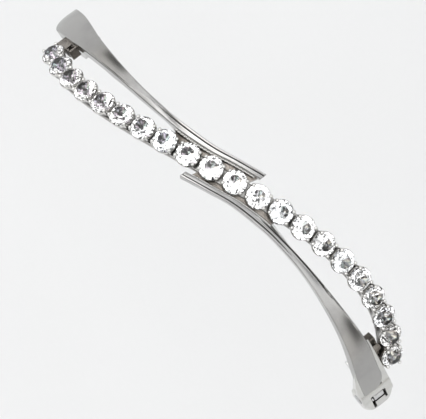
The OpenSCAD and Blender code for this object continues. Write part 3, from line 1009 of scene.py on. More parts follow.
@dataclass(frozen=True)
class Stones:
    """The cut stones: clear tops over silvered backs. Millimetres."""

    row: StoneRow
    width: float = 3.9
    crown: float = 0.85
    girdle: float = 0.12
    pavilion: float = 1.55
    table_share: float = 0.56
    star_share: float = 0.79
    star_height_share: float = 0.56
    lower_share: float = 0.42
    foil_gap: float = 0.012
    foil_thickness: float = 0.02
    foil_inset: float = 0.01
    foil_flare: float = 0.3
    turn: float = 0.1
    loose_turn: float = 0.16
    seed: int = 11

    def ring(self, count: int, radius: float, height: float, half_step: bool = False) -> np.ndarray:
        """Points on a level circle."""
        angle = (np.arange(count) + (0.5 if half_step else 0.0)) * 2 * math.pi / count
        return np.stack([radius * np.cos(angle), radius * np.sin(angle), np.full(count, height)], axis=-1)

    def crystal(self) -> bpy.types.Object:
        """One clear brilliant: table, star, kite and girdle facets over a pointed back."""
        r = self.width / 2
        table = self.ring(8, r * self.table_share, self.crown)
        star_height = self.girdle + (self.crown - self.girdle) * self.star_height_share
        star = self.ring(8, r * self.star_share, star_height, True)
        upper = self.ring(16, r, self.girdle)
        lower = self.ring(16, r, 0.0)
        draft = Draft(np.vstack([table, star, upper, lower]).tolist())
        draft.faces.append(tuple(range(8)))
        for k in range(8):
            n = (k + 1) % 8
            a, b, c = 16 + 2 * k, 16 + 2 * k + 1, 16 + (2 * k + 2) % 16
            draft.faces.append((k, n, 8 + k))
            draft.faces.append((k, 8 + k, a))
            draft.faces.append((k, a, 8 + (k - 1) % 8))
            draft.faces.append((8 + k, a, b))
            draft.faces.append((8 + k, b, c))
        for k in range(16):
            n = (k + 1) % 16
            draft.faces.append((16 + k, 16 + n, 32 + n, 32 + k))
        self.add_back(draft, 32, 0.0)
        return self.mark_facets(draft.build("stone_unit", sharp=1.0))

    def add_back(self, draft: Draft, rim: int, drop: float) -> None:
        """Adds the pointed back's facets below a ring of 16 points.

        Args:
            draft: The draft to add to.
            rim: Number of the ring's first point.
            drop: How far the back is lowered.
        """
        r = self.width / 2
        start = len(draft.points)
        rise = self.lower_share * math.cos(math.pi / 8)
        halves = self.ring(8, r * self.lower_share, -self.pavilion * (1 - rise) - drop, True)
        draft.points.extend(halves.tolist())
        draft.points.append((0.0, 0.0, -self.pavilion - drop))
        tip = start + 8
        for k in range(8):
            a, b, c = rim + 2 * k, rim + 2 * k + 1, rim + (2 * k + 2) % 16
            draft.faces.append((start + k, a, b))
            draft.faces.append((start + k, b, c))
            draft.faces.append((start + k, tip, a))
            draft.faces.append((start + (k - 1) % 8, a, tip))

    def mark_facets(self, obj: bpy.types.Object) -> bpy.types.Object:
        """Makes every facet flat, gives it a number of its own, and returns the object."""
        bm = bmesh.new()
        bm.from_mesh(obj.data)
        for face in bm.faces:
            face.smooth = False
        bm.to_mesh(obj.data)
        bm.free()
        count = len(obj.data.polygons)
        chance = np.random.default_rng(self.seed).random(count)
        layer = obj.data.attributes.new(FACET, "FLOAT", "FACE")
        layer.data.foreach_set("value", chance)
        return obj

    def foil(self) -> bpy.types.Object:
        """The thin silvered shell close under one stone's back."""
        shells = []
        r = self.width / 2
        for drop in (self.foil_gap, self.foil_gap + self.foil_thickness):
            rim = r - self.foil_inset + drop * self.foil_flare
            draft = Draft(self.ring(16, rim, -drop).tolist())
            self.add_back(draft, 0, drop)
            shells.append(draft)
        inner, outer = shells
        count = len(inner.points)
        inner.add(outer)
        for k in range(16):
            n = (k + 1) % 16
            inner.faces.append((k, n, count + n, count + k))
        return self.mark_facets(inner.build("foil_unit", sharp=1.0))

    def build(self, tree: SettingTree, yard: Yard) -> None:
        """Sets all the stones and their foils.

        Args:
            tree: The tree that sets units on points.
            yard: Where finished pieces go.
        """
        for name, unit, finish, nodes in (("stones", self.crystal(), CRYSTAL, self.row.names("stone")),
                                          ("stone_foils", self.foil(), FOIL, [])):
            values = {"Unit": unit, "Size": 1.0, "Turn": self.turn, "Loose Turn": self.loose_turn,
                      "Seed": self.seed}
            made = tree.grow(name, self.row.seats(), values, finish)
            bpy.data.objects.remove(unit)
            yard.deliver(made, Body.FRAME, finish, nodes)


# A claw from the cup's foot to the girdle: [distance out, height, wire radius] in millimetres.
CLAW_PATH = [
    (1.50, -1.75, 0.16),
    (1.90, -0.90, 0.20),
    (2.04, -0.30, 0.22),
    (2.06, 0.00, 0.23),
    (1.99, 0.22, 0.24),
]


@dataclass(frozen=True)
class ClawCups:
    """The settings: a flared cup with a rim and four bent claws, each with a bead. Millimetres."""

    row: StoneRow
    foot: float = 1.25
    mouth: float = 2.02
    depth: float = 2.05
    wall: float = 0.09
    claw_along: float = 1.66
    claw_side: float = 1.15
    bead_radius: float = 0.33
    bead_height: float = 0.40
    claw_sides: int = 10

    def bowl(self) -> Draft:
        """The cup without its claws."""
        foot, mouth, inside = self.foot, self.mouth, self.mouth - self.wall
        outline = [(foot, -self.depth), (foot + 0.14, -self.depth + 0.12), (mouth - 0.12, -0.55),
                   (mouth + 0.02, -0.42), (mouth + 0.05, -0.26), (mouth, -0.08), (mouth - 0.04, -0.02),
                   (inside, -0.05), (inside, -0.14), (0.42, -1.72), (0.30, -self.depth)]
        # Painted shade: darker inside the cup and down towards its foot, under the stone.
        painted_shade = [0.85, 0.7, 0.45, 0.12, 0.0, 0.05, 0.0, 0.3, 0.8, 1.0, 1.0]
        return Draft().turned(outline, 32, painted_shade)

    def claw(self, x: float, y: float) -> Draft:
        """One claw: a tapered wire that climbs the cup, leans over the girdle and ends in a bead."""
        reach = math.hypot(x, y)
        ahead = np.array([x / reach, y / reach, 0.0])
        side = np.array([-ahead[1], ahead[0], 0.0])
        up = np.array([0.0, 0.0, 1.0])
        path = list(CLAW_PATH)
        for k in range(1, 7):
            turn = math.radians(-60 + 150 * (k - 0.5) / 6)
            path.append((reach * 0.97 - 0.02, self.bead_height + self.bead_radius * math.sin(turn),
                         self.bead_radius * math.cos(turn)))
        path.append((reach * 0.95, self.bead_height + self.bead_radius * 1.01, 0.03))
        rings, painted_shade = [], []
        angle = np.arange(self.claw_sides) * 2 * math.pi / self.claw_sides
        for distance, height, radius in path:
            spread = np.cos(angle)[:, None] * ahead + np.sin(angle)[:, None] * side
            rings.append(ahead * distance + up * height + radius * spread)
            # Painted shade: each claw darkens lower down, under the stone's girdle.
            painted_shade.extend([float(smooth_step(-0.1, -1.4, height))] * self.claw_sides)
        draft = Draft().rings(rings)
        draft.painted_shade = painted_shade
        return draft

    def build(self, tree: SettingTree, yard: Yard) -> None:
        """Sets all the cups.

        Args:
            tree: The tree that sets units on points.
            yard: Where finished pieces go.
        """
        draft = self.bowl()
        for x in (-self.claw_along, self.claw_along):
            for y in (-self.claw_side, self.claw_side):
                draft.add(self.claw(x, y))
        unit = draft.build("cup_unit", sharp=50.0)
        values = {"Unit": unit, "Size": 1.0, "Turn": 0.0, "Loose Turn": 0.02, "Seed": 3}
        made = tree.grow("claw_cups", self.row.seats(), values, BRIGHT)
        bpy.data.objects.remove(unit)
        yard.deliver(made, Body.FRAME, BRIGHT, self.row.names("claw_cup"))


# ---------------------------------------------------------------------------------------------------
# Blades, rail, webs and bridges
# ---------------------------------------------------------------------------------------------------

# Both edges of the right blade from its tail to its broad end: [u, lower y, upper y] in pitches.
BLADE_EDGES = [
    (-0.95, -1.25, -0.98),
    (0.0, -0.86, -0.62),
    (1.0, -0.46, -0.20),
    (2.0, -0.20, 0.10),
    (3.0, 0.00, 0.28),
    (4.5, 0.14, 0.47),
    (6.0, 0.14, 0.60),
    (8.0, 0.00, 0.74),
    (10.0, -0.28, 0.83),
    (11.2, -0.34, 0.84),
]


@dataclass(frozen=True)
class Blade:
    """One plain blade: a broad face that runs out in a slim ribbed tail. Millimetres and pitches."""

    arch: Arch
    side: Side
    ridge: tuple[tuple[float, float], ...]
    groove: tuple[float, float, float]
    facet_slope: float
    end_roll: float
    end_u: float
    corner_share: float = 0.38
    corner: float = 0.7
    trim: float = 0.0
    edge_round: float = 0.16
    crown: float = 0.10
    rim_share: float = 0.30
    rim_height: float = 0.12
    tail_groove: float = 0.16
    rows: int = 170
    columns: int = 36

    def low(self, u: Any) -> np.ndarray:
        """The blade's lower edge in millimetres."""
        return through(BLADE_EDGES, u, 1) * self.arch.pitch

    def high(self, u: Any) -> np.ndarray:
        """The blade's upper edge, the one beside the stones, in millimetres."""
        return through(BLADE_EDGES, u, 2) * self.arch.pitch - self.trim * smooth_step(8.6, 10.4, u)

    def lay_lines(self) -> tuple[np.ndarray, np.ndarray]:
        """Grid lines of the face, closer together at its edges.

        Returns:
            The unrolled u of each grid point, and its share of the blade's width.
        """
        near = 1 - np.cos(np.linspace(0, math.pi / 2, 7))
        inside = np.linspace(0, 1, self.columns)[1:-1]
        share = np.concatenate([near * 0.04, 0.04 + inside * 0.92, 1 - near[::-1] * 0.04])
        along = np.concatenate([near * 0.006, 0.006 + np.linspace(0, 1, self.rows)[1:-1] * 0.984,
                                0.99 + (1 - near[::-1]) * 0.01])
        corner = np.clip((share - self.corner_share) / (1 - self.corner_share), 0, 1)
        ends = self.end_u - self.corner * (1 - np.sqrt(1 - corner**2))
        start = BLADE_EDGES[0][0]
        u = start + along[:, None] * (ends[None, :] - start)
        return u, np.broadcast_to(share[None, :], u.shape)

    def edge_distance(self, u: np.ndarray, share: np.ndarray) -> tuple[np.ndarray, np.ndarray]:
        """How far grid points are from the blade's outline.

        Args:
            u: Places along the arch.
            share: Shares of the width.

        Returns:
            Distance to the whole outline, and to the broad end only, in millimetres.
        """
        width = self.high(u) - self.low(u)
        end = (self.end_u - u) * self.arch.pitch
        reach = self.corner * self.arch.pitch
        ahead = np.clip((u - self.end_u + self.corner) * self.arch.pitch / reach, 0, None)
        aside = np.clip((share - self.corner_share) / (1 - self.corner_share), 0, None)
        corner = (1 - np.hypot(ahead, aside)) * width * (1 - self.corner_share)
        in_corner = (ahead > 0) & (aside > 0)
        broad = np.where(in_corner, np.minimum(corner, end), end)
        sides = np.minimum(share * width, np.where(in_corner, corner, (1 - share) * width))
        tail = (u - BLADE_EDGES[0][0]) * self.arch.pitch
        return np.maximum(np.minimum(np.minimum(sides, broad), tail), 0), np.maximum(broad, 0)

    def build(self, yard: Yard) -> None:
        """Builds the blade's face, grooves, rims and walls."""
        u, share = self.lay_lines()
        low, high = self.low(u), self.high(u)
        width = high - low
        outline, broad = self.edge_distance(u, share)
        y = low + share * width
        height = self.arch.face_rise - self.crown * (2 * share - 1) ** 2 * np.clip(width / 4, 0, 1)
        ridge_u = [step[0] for step in self.ridge]
        ridge = np.interp(u, ridge_u, [step[1] for step in self.ridge])
        slope = self.facet_slope * (0.35 + 0.65 * smooth_step(1.5, 4.0, u))
        height = height - np.clip(share - ridge, 0, None) * width * slope
        tail = smooth_step(4.2, 2.4, u)
        rim = smooth_step(self.rim_share + 0.06, self.rim_share - 0.06, share) * tail
        height = height + (rim - 0.6 * tail) * self.rim_height
        line = np.exp(-(((share - self.rim_share - 0.08) * width / 0.055) ** 2)) * tail
        height = height - line * self.tail_groove
        from_u, to_u, place = self.groove
        long = smooth_step(from_u - 0.3, from_u + 0.5, u) * smooth_step(to_u + 0.3, to_u - 0.5, u)
        cut_line = np.exp(-(((share - place) * width / 0.075) ** 2)) * long
        height = height - cut_line * 0.26
        height = height - self.end_roll * smooth_step(2.0, 0.0, broad) ** 1.5
        inward = np.clip(self.edge_round - outline, 0, self.edge_round)
        drop = self.edge_round - np.sqrt(np.maximum(self.edge_round**2 - inward**2, 0))
        flip = self.side is Side.LEFT
        top = self.arch.place(u, y, height - drop, flip)
        floor = self.arch.face_rise - self.arch.blade_thickness
        bottom = self.arch.place(u, y, np.full_like(u, floor) + drop, flip)
        # Painted shade: the tail's groove and the long cut groove are darkened, and the underside a little.
        painted_shade = np.clip(line * 1.1 + cut_line * 1.3, 0, 1)
        draft = Draft().grid_solid(top, bottom, painted_shade, 0.12)
        name = f"{self.side.value}_blade"
        blade = draft.build(f"{name}_plated", sharp=16.0)
        yard.deliver(blade, Body.FRAME, POLISHED, [name])


@dataclass(frozen=True)
class Rail:
    """The rail under the stones: a rounded strip with a shallow groove beneath. Millimetres."""

    row: StoneRow
    width: float = 2.6
    over: float = 0.45
    corner: float = 0.22

    def section(self) -> list[tuple[float, float]]:
        """The rail's cross section: away from the line, and height."""
        top = self.row.arch.face_rise - self.row.arch.blade_thickness
        low = top - self.row.arch.rail_thickness
        half, corner = self.width / 2, self.corner
        points = []
        for x, z, start in ((half, top, 0), (-half, top, 90), (-half, low, 180), (half, low, 270)):
            inner_x = x - math.copysign(corner, x)
            inner_z = z - corner if z == top else z + corner
            for turn in (0, 30, 60, 90):
                a = math.radians(start + turn)
                points.append((inner_x + corner * math.cos(a), inner_z + corner * math.sin(a)))
            if start == 180:
                points.extend([(-0.55, low), (-0.35, low + 0.2), (0.35, low + 0.2), (0.55, low)])
        return points

    def build(self, yard: Yard) -> None:
        """Runs the section along the row."""
        stations = self.row.stations()
        section = self.section()
        rings = []
        for s in np.linspace(stations[0] - self.over, stations[-1] + self.over, 190):
            ring = []
            for away, height in section:
                u, y = self.row.beside(float(s), away)
                ring.append(self.row.arch.place(u, y, height))
            rings.append(np.array(ring))
        # Painted shade: the rail is darkened where it shows between the cups.
        rail = Draft().rings(rings, painted_shade=0.42).build("stone_rail_plated", sharp=40.0)
        yard.deliver(rail, Body.FRAME, BRIGHT, ["stone_rail"])


@dataclass(frozen=True)
class TailLedge:
    """A narrow ledge between a tail and the cups, with a string of small beads. Millimetres."""

    blade: Blade
    row: StoneRow
    start: float = -0.75
    stop: float = 2.55
    width: float = 0.42
    top: float = -0.62
    bead_radius: float = 0.2
    bead_spacing: float = 0.62

    def build(self, beads: BeadTree, yard: Yard) -> None:
        """Builds the ledge on its web, and strings the beads on it."""
        arch = self.blade.arch
        flip = self.blade.side is Side.LEFT
        u = np.linspace(self.start, self.stop, 60)[:, None]
        share = np.array([0.0, 0.15, 0.5, 0.85, 1.0])[None, :]
        y = self.blade.high(u) - 0.06 + share * self.width
        height = self.top - 0.12 * (2 * share - 1) ** 4 + 0 * u
        floor = arch.face_rise - arch.blade_thickness - 0.3
        # Painted shade: the ledge between the tail and the cups is darkened, more so underneath.
        draft = Draft().grid_solid(arch.place(u, y, height, flip), arch.place(u, y, floor + 0 * y, flip),
                                   np.full(y.shape, 0.35), 0.6)
        stem = f"{self.blade.side.value}_tail"
        yard.deliver(draft.build(f"{stem}_ledge", sharp=40.0), Body.FRAME, BRIGHT)
        line = np.linspace(self.start + 0.1, self.stop - 0.1, 40)
        places = arch.place(line, self.blade.high(line) - 0.06 + self.width / 2, self.top + 0.06, flip) * MM
        values = {"Spacing": self.bead_spacing * MM, "Bead Radius": self.bead_radius * MM}
        made = beads.grow(f"{stem}_beads", chain_mesh("bead_line", places), values, BRIGHT)
        yard.deliver(made, Body.FRAME, BRIGHT)


@dataclass(frozen=True)
class Bridge:
    """A bridge from a blade's broad end to the row: a recess with raised rims and a crossed brace.

    It lies over the CAD node, whose low foot stays in sight under it.
    """

    blade: Blade
    row: StoneRow
    stop: float
    start: float = 9.0
    reach: float = 1.5
    top: float = -0.92
    floor_drop: float = 0.34
    rim: float = 0.13
    cup_room: float = 2.2

    def far_edge(self, u: float) -> float:
        """How far the bridge may reach across at u before it meets a cup, in millimetres."""
        near = float(self.blade.high(u))
        reach = near + self.reach
        for s in self.row.stations()[-3:]:
            stone_u, stone_y = self.row.line(s)
            along = (u - stone_u) * self.blade.arch.pitch
            if abs(along) < self.cup_room:
                reach = min(reach, stone_y - math.sqrt(self.cup_room**2 - along**2))
        return max(reach, near + 0.5)

    def bar(self, line: Sequence[tuple[float, float]], radius: float, height: float, painted_shade: float) -> Draft:
        """A round bar over unrolled places.

        Args:
            line: Places as (u, y) in pitches and millimetres.
            radius: The bar's radius.
            height: Height of its middle.
            painted_shade: How much painted shade it carries.

        Returns:
            The bar.
        """
        arch, flip = self.blade.arch, self.blade.side is Side.LEFT
        rings = []
        for i, (u, y) in enumerate(line):
            before, after = line[max(i - 1, 0)], line[min(i + 1, len(line) - 1)]
            ahead = np.array([(after[0] - before[0]) * arch.pitch, after[1] - before[1]])
            ahead = ahead / np.linalg.norm(ahead)
            ring = []
            for a in np.arange(8) * math.pi / 4:
                side = radius * math.cos(a)
                ring.append(arch.place(u - ahead[1] * side / arch.pitch, y + ahead[0] * side,
                                       height + radius * math.sin(a), flip))
            rings.append(np.array(ring))
        return Draft().rings(rings, painted_shade=painted_shade)

    def build(self, yard: Yard) -> None:
        """Builds the recess, its rims and the brace."""
        arch, flip = self.blade.arch, self.blade.side is Side.LEFT
        u = np.linspace(self.start, self.stop, 40)
        near = self.blade.high(u) - 0.05
        far = np.array([self.far_edge(float(at)) for at in u])
        share = np.linspace(0, 1, 12)
        grid_u = np.broadcast_to(u[:, None], (40, 12))
        y = near[:, None] + share[None, :] * (far - near)[:, None]
        pits = 0.05 * np.sin(grid_u * 23.0) * np.cos(y * 9.0)
        height = self.top - self.floor_drop + pits
        floor = arch.face_rise - arch.blade_thickness - arch.rail_thickness + 0.02
        upper, lower = (arch.place(grid_u, y, level + 0 * y, flip) for level in (height, floor))
        # Painted shade: the recess floor is darkened; the rims and the brace only a little.
        draft = Draft().grid_solid(upper, lower, np.full(y.shape, 0.62), 0.5)
        inner = [(float(a), float(n) + self.rim) for a, n in zip(u, near)]
        outer = [(float(a), float(f) - self.rim) for a, f in zip(u, far)]
        bar_top = self.top - self.rim
        first, last = [inner[0], outer[0]], [inner[-1], outer[-1]]
        for line in (inner, outer, first, last):
            draft.add(self.bar(line, self.rim, bar_top, 0.08))
        eighth = len(u) // 8
        for a, b in ((inner[eighth], outer[-eighth]), (outer[eighth], inner[-eighth])):
            steps = np.linspace(0, 1, 9)
            line = [(a[0] + (b[0] - a[0]) * t, a[1] + (b[1] - a[1]) * t) for t in steps]
            draft.add(self.bar(line, self.rim * 0.8, bar_top - 0.06, 0.05))
        name = f"{self.blade.side.value}_bridge"
        bridge = draft.build(f"{name}_cast", sharp=45.0)
        yard.deliver(bridge, Body.FRAME, PAINTED_RECESS_SHADE)
        yard.redress(bpy.data.objects[name], PAINTED_RECESS_SHADE)


# ---------------------------------------------------------------------------------------------------
# Hinge, jaw and catch
# ---------------------------------------------------------------------------------------------------


@dataclass(frozen=True)
class Pivot:
    """A pin's place: X and Z of its middle line, and the Y of the joint, in millimetres."""

    x: float
    y: float
    z: float

    @classmethod
    def of(cls, joints: Sequence[dict[str, Any]], name: str) -> "Pivot":
        """Reads a joint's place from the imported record."""
        place = next(joint["pos_m"] for joint in joints if joint["name"] == name)
        return cls(*(value / MM for value in place))

    def drum(self, radius: float, y0: float, y1: float, corner: float = 0.0, steps: int = 48) -> Draft:
        """A solid drum on the pin's line.

        Args:
            radius: The drum's radius.
            y0: Where it starts.
            y1: Where it ends.
            corner: Radius of its rounded edges.
            steps: Faces round it.

        Returns:
            The drum.
        """
        line = [(y0, radius)] if corner == 0 else [
            (y0 + corner * (1 - math.sin(t)), radius - corner * (1 - math.cos(t)))
            for t in np.linspace(math.pi / 2, 0, 5)]
        return self.lathe(line, y0 + y1, steps)

    def lathe(self, line: Sequence[tuple[float, float]], ends: float, steps: int) -> Draft:
        """A solid turned on the pin's line, the same at both ends.

        Args:
            line: One end's outline as (Y, radius), inwards from its face.
            ends: The sum of both faces' Y.
            steps: Faces round it.

        Returns:
            The solid.
        """
        angle = np.arange(steps) * 2 * math.pi / steps
        rings = []
        for y, r in [*line, *((ends - y, r) for y, r in reversed(line))]:
            rings.append(np.stack([self.x + r * np.cos(angle), np.full(steps, y),
                                   self.z + r * np.sin(angle)], axis=-1))
        return Draft().rings(rings)


def span(node: str) -> tuple[float, float]:
    """Where a CAD node starts and ends across the clip, in millimetres."""
    low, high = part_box(node)
    return low.y / MM, high.y / MM


def block(low: Sequence[float], high: Sequence[float]) -> Draft:
    """A box between two corners, as a draft."""
    (x0, y0, z0), (x1, y1, z1) = low, high
    rings = [np.array([(x0, y0, z), (x1, y0, z), (x1, y1, z), (x0, y1, z)]) for z in (z0, z1)]
    return Draft().rings(rings)


def rivet(pivot: Pivot, name: str, node: str, radius: float, head: float, yard: Yard) -> None:
    """A pin with domed, peened heads.

    Args:
        pivot: The pin's place.
        name: The piece's name.
        node: The CAD node that it stands for, whose box gives its length.
        radius: The pin's radius.
        head: Thickness of a head.
        yard: Where finished pieces go.
    """
    y0, y1 = span(node)
    low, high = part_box(node)
    wide = (high.x - low.x) / MM / 2
    line = [(y0, wide * 0.25), (y0 + head * 0.12, wide * 0.62), (y0 + head * 0.45, wide * 0.93),
            (y0 + head * 0.8, wide), (y0 + head, wide * 0.98), (y0 + head, radius)]
    pin = pivot.lathe(line, y0 + y1, 40).build(name, sharp=50.0)
    yard.deliver(pin, Body.FRAME, PIN_STEEL, [node])


@dataclass(frozen=True)
class Coil:
    """A torsion spring on a pin. Millimetres."""

    pivot: Pivot
    node: str
    wire: float
    leg: float
    spacing: float = 1.04

    def build(self, tree: CoilTree, yard: Yard) -> None:
        """Winds the spring to fill the room of its CAD tube."""
        low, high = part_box(self.node)
        outer = (high.x - low.x) / 2 / MM
        length = (high.y - low.y) / MM - 2 * self.wire
        turns = length / (2 * self.wire * self.spacing)
        values = {"Turns": turns, "Coil Radius": (outer - self.wire) * MM, "Length": length * MM,
                  "Wire Radius": self.wire * MM, "Leg": self.leg * MM}
        start = bpy.data.meshes.new("coil_start")
        coil = tree.grow(f"{self.node}_coil", start, values, SPRING_STEEL)
        place = Vector((self.pivot.x * MM, high.y - self.wire * MM, self.pivot.z * MM))
        coil.data.transform(Matrix.Translation(place) @ Matrix.Rotation(math.pi / 2, 4, "X"))
        yard.deliver(coil, Body.FRAME, SPRING_STEEL, [self.node])


@dataclass(frozen=True)
class HingeBlock:
    """The rounded hood under the right blade's end, with two ears, their slits and the foot."""

    blade: Blade
    pivot: Pivot
    foot_half: float = 1.3
    slot_low: float = -0.30
    slot_width: float = 2.1
    room: float = 2.04
    inner: float = -3.5
    end_x: float = 41.75
    low_round: float = 1.85
    high_round: float = 2.2
    ear_radius: float = 1.9
    bore: float = 0.62
    pocket_radius: float = 1.35
    pocket_depth: float = 0.5
    pocket_wall: float = 0.6
    voxel: float = 0.075
    smoothing: int = 5

    def outline(self, low: float, high: float) -> np.ndarray:
        """The hood from above: out from under the blade and round its end.

        Args:
            low: Y of the lower ear's face.
            high: Y of the upper ear's face.

        Returns:
            Points of X and Y, millimetres.
        """
        points = [(33.0, high), (33.0, 1.0), (35.2, -0.55), (36.3, -1.35), (37.3, low + 0.32), (38.3, low)]
        for radius, y, start in ((self.low_round, low + self.low_round, -90),
                                 (self.high_round, high - self.high_round, 0)):
            for turn in range(start, start + 91, 9):
                a = math.radians(turn)
                points.append((self.end_x - radius + radius * math.cos(a), y + radius * math.sin(a)))
        return np.array(points) + np.array([self.blade.arch.centre_x, 0.0])

    def from_centre(self, x: Any, z: Any) -> Any:
        """Distance of a place in X and Z from the arch's middle line."""
        arch = self.blade.arch
        return np.hypot(x - arch.centre_x, z - arch.top_z + arch.radius)

    def casing(self, low: float, high: float) -> bpy.types.Object:
        """The hood: the arch's own surface, run on to the table inside the outline."""
        arch = self.blade.arch
        shape = self.outline(low, high)
        levels = [np.column_stack([shape, np.full(len(shape), z)]) for z in (0.0, 18.0)]
        prism = Draft().rings(levels).build("prism")
        u = np.linspace(8.3, 12.6, 70)[:, None]
        y = np.array([-7.0, 7.0])[None, :]
        under = smooth_step(11.3, 11.0, u)
        top = arch.face_rise - 0.24 * under
        sheet = Draft().grid_solid(arch.place(u, y, top), arch.place(u, y, self.inner + 0 * u)).build("sheet")
        return cut(prism, [sheet], "INTERSECT")

    def slit(self, y: float, width: float, ahead: float, behind: float) -> Draft:
        """A narrow cut beside the knuckle, square to the arch.

        Args:
            y: Where the slit starts across the clip.
            width: Its width.
            ahead: How far it runs past the pin.
            behind: How far it runs before the pin.

        Returns:
            The tool that cuts it.
        """
        box = block((-behind, y, 0.7), (ahead, y + width, 3.4))
        arch = self.blade.arch
        lean = math.atan2(self.pivot.x - arch.centre_x, self.pivot.z - arch.top_z + arch.radius)
        turn = np.array(Matrix.Rotation(lean, 3, "Y"))
        places = np.array(box.points) @ turn.T + np.array([self.pivot.x, 0.0, self.pivot.z])
        return Draft(places.tolist(), box.faces)

    def build(self, yard: Yard) -> None:
        """Casts the block and cuts its slot, slits, pocket and bore."""
        x, z = self.pivot.x, self.pivot.z
        y0, y1 = span("hinge_block")
        foot = block((x - self.foot_half, y0, 0.0), (x + self.foot_half, y1, z))
        ears = self.pivot.drum(self.ear_radius, y0, y1, 0.3)
        parts = [self.casing(y0, y1), ears.build("ears"), foot.build("foot")]
        hood = cast("hinge_block_cast", parts, self.voxel, self.smoothing)
        slot_high = self.slot_low + self.slot_width
        tools = [
            self.pivot.drum(self.room, self.slot_low, slot_high),
            block((x - 5.0, self.slot_low, -1.0), (x, slot_high, z + 1.6)),
            block((x - 0.01, self.slot_low, -1.0), (x + 1.6, slot_high, z)),
            self.slit(self.slot_low - 0.42, 0.5, 2.5, 1.0),
            self.slit(slot_high - 0.08, 0.42, 1.7, 0.8),
            self.pivot.drum(self.pocket_radius, slot_high - self.pocket_depth, y1 - self.pocket_wall),
            self.pivot.drum(self.bore, y0 - 1.0, y1 + 1.0, steps=32),
        ]
        cut(hood, [tool.build("tool") for tool in tools], sharp=38.0)
        flatten_foot(hood)

        def slot_shade(points: np.ndarray) -> np.ndarray:
            """Painted shade in the slot and the slits."""
            inside = np.minimum(points[:, 1] - self.slot_low + 0.44, slot_high + 0.36 - points[:, 1])
            depth = float(self.from_centre(x, z)) + 1.75
            out = self.from_centre(points[:, 0], points[:, 2])
            return smooth_step(-0.02, 0.05, inside) * 0.95 * smooth_step(depth, depth - 0.2, out)

        # Painted shade darkens the slot and the slits.
        paint_shade(hood, slot_shade)
        yard.deliver(hood, Body.FRAME, HOOD_PLATE, ["hinge_block"])


def flatten_foot(obj: bpy.types.Object) -> None:
    """Presses a casting's lowest skin flat onto the table."""
    reach = 0.12
    for vertex in obj.data.vertices:
        if vertex.co.z < reach * MM:
            vertex.co.z = max(vertex.co.z, 0.0) * smooth_step(0.03, reach, vertex.co.z / MM)


# The jaw bar's middle line and half width: [x from the apex, y, half width] in millimetres.
JAW_LINE = [
    (-36.0, -1.00, 0.80),
    (-31.0, -0.85, 0.80),
    (-26.0, -0.45, 1.10),
    (-20.5, 0.00, 0.72),
    (-15.0, 0.45, 0.72),
    (0.0, 1.20, 1.30),
    (15.0, 2.05, 0.72),
    (20.5, 2.60, 0.72),
    (28.0, 2.85, 1.10),
    (32.0, 2.20, 1.00),
    (35.0, 1.30, 0.90),
]


# The catch lever's nose: its radius in millimetres and the angle in degrees at which it starts.
NOSE_RADIUS = 2.6
NOSE_FROM = 35.0


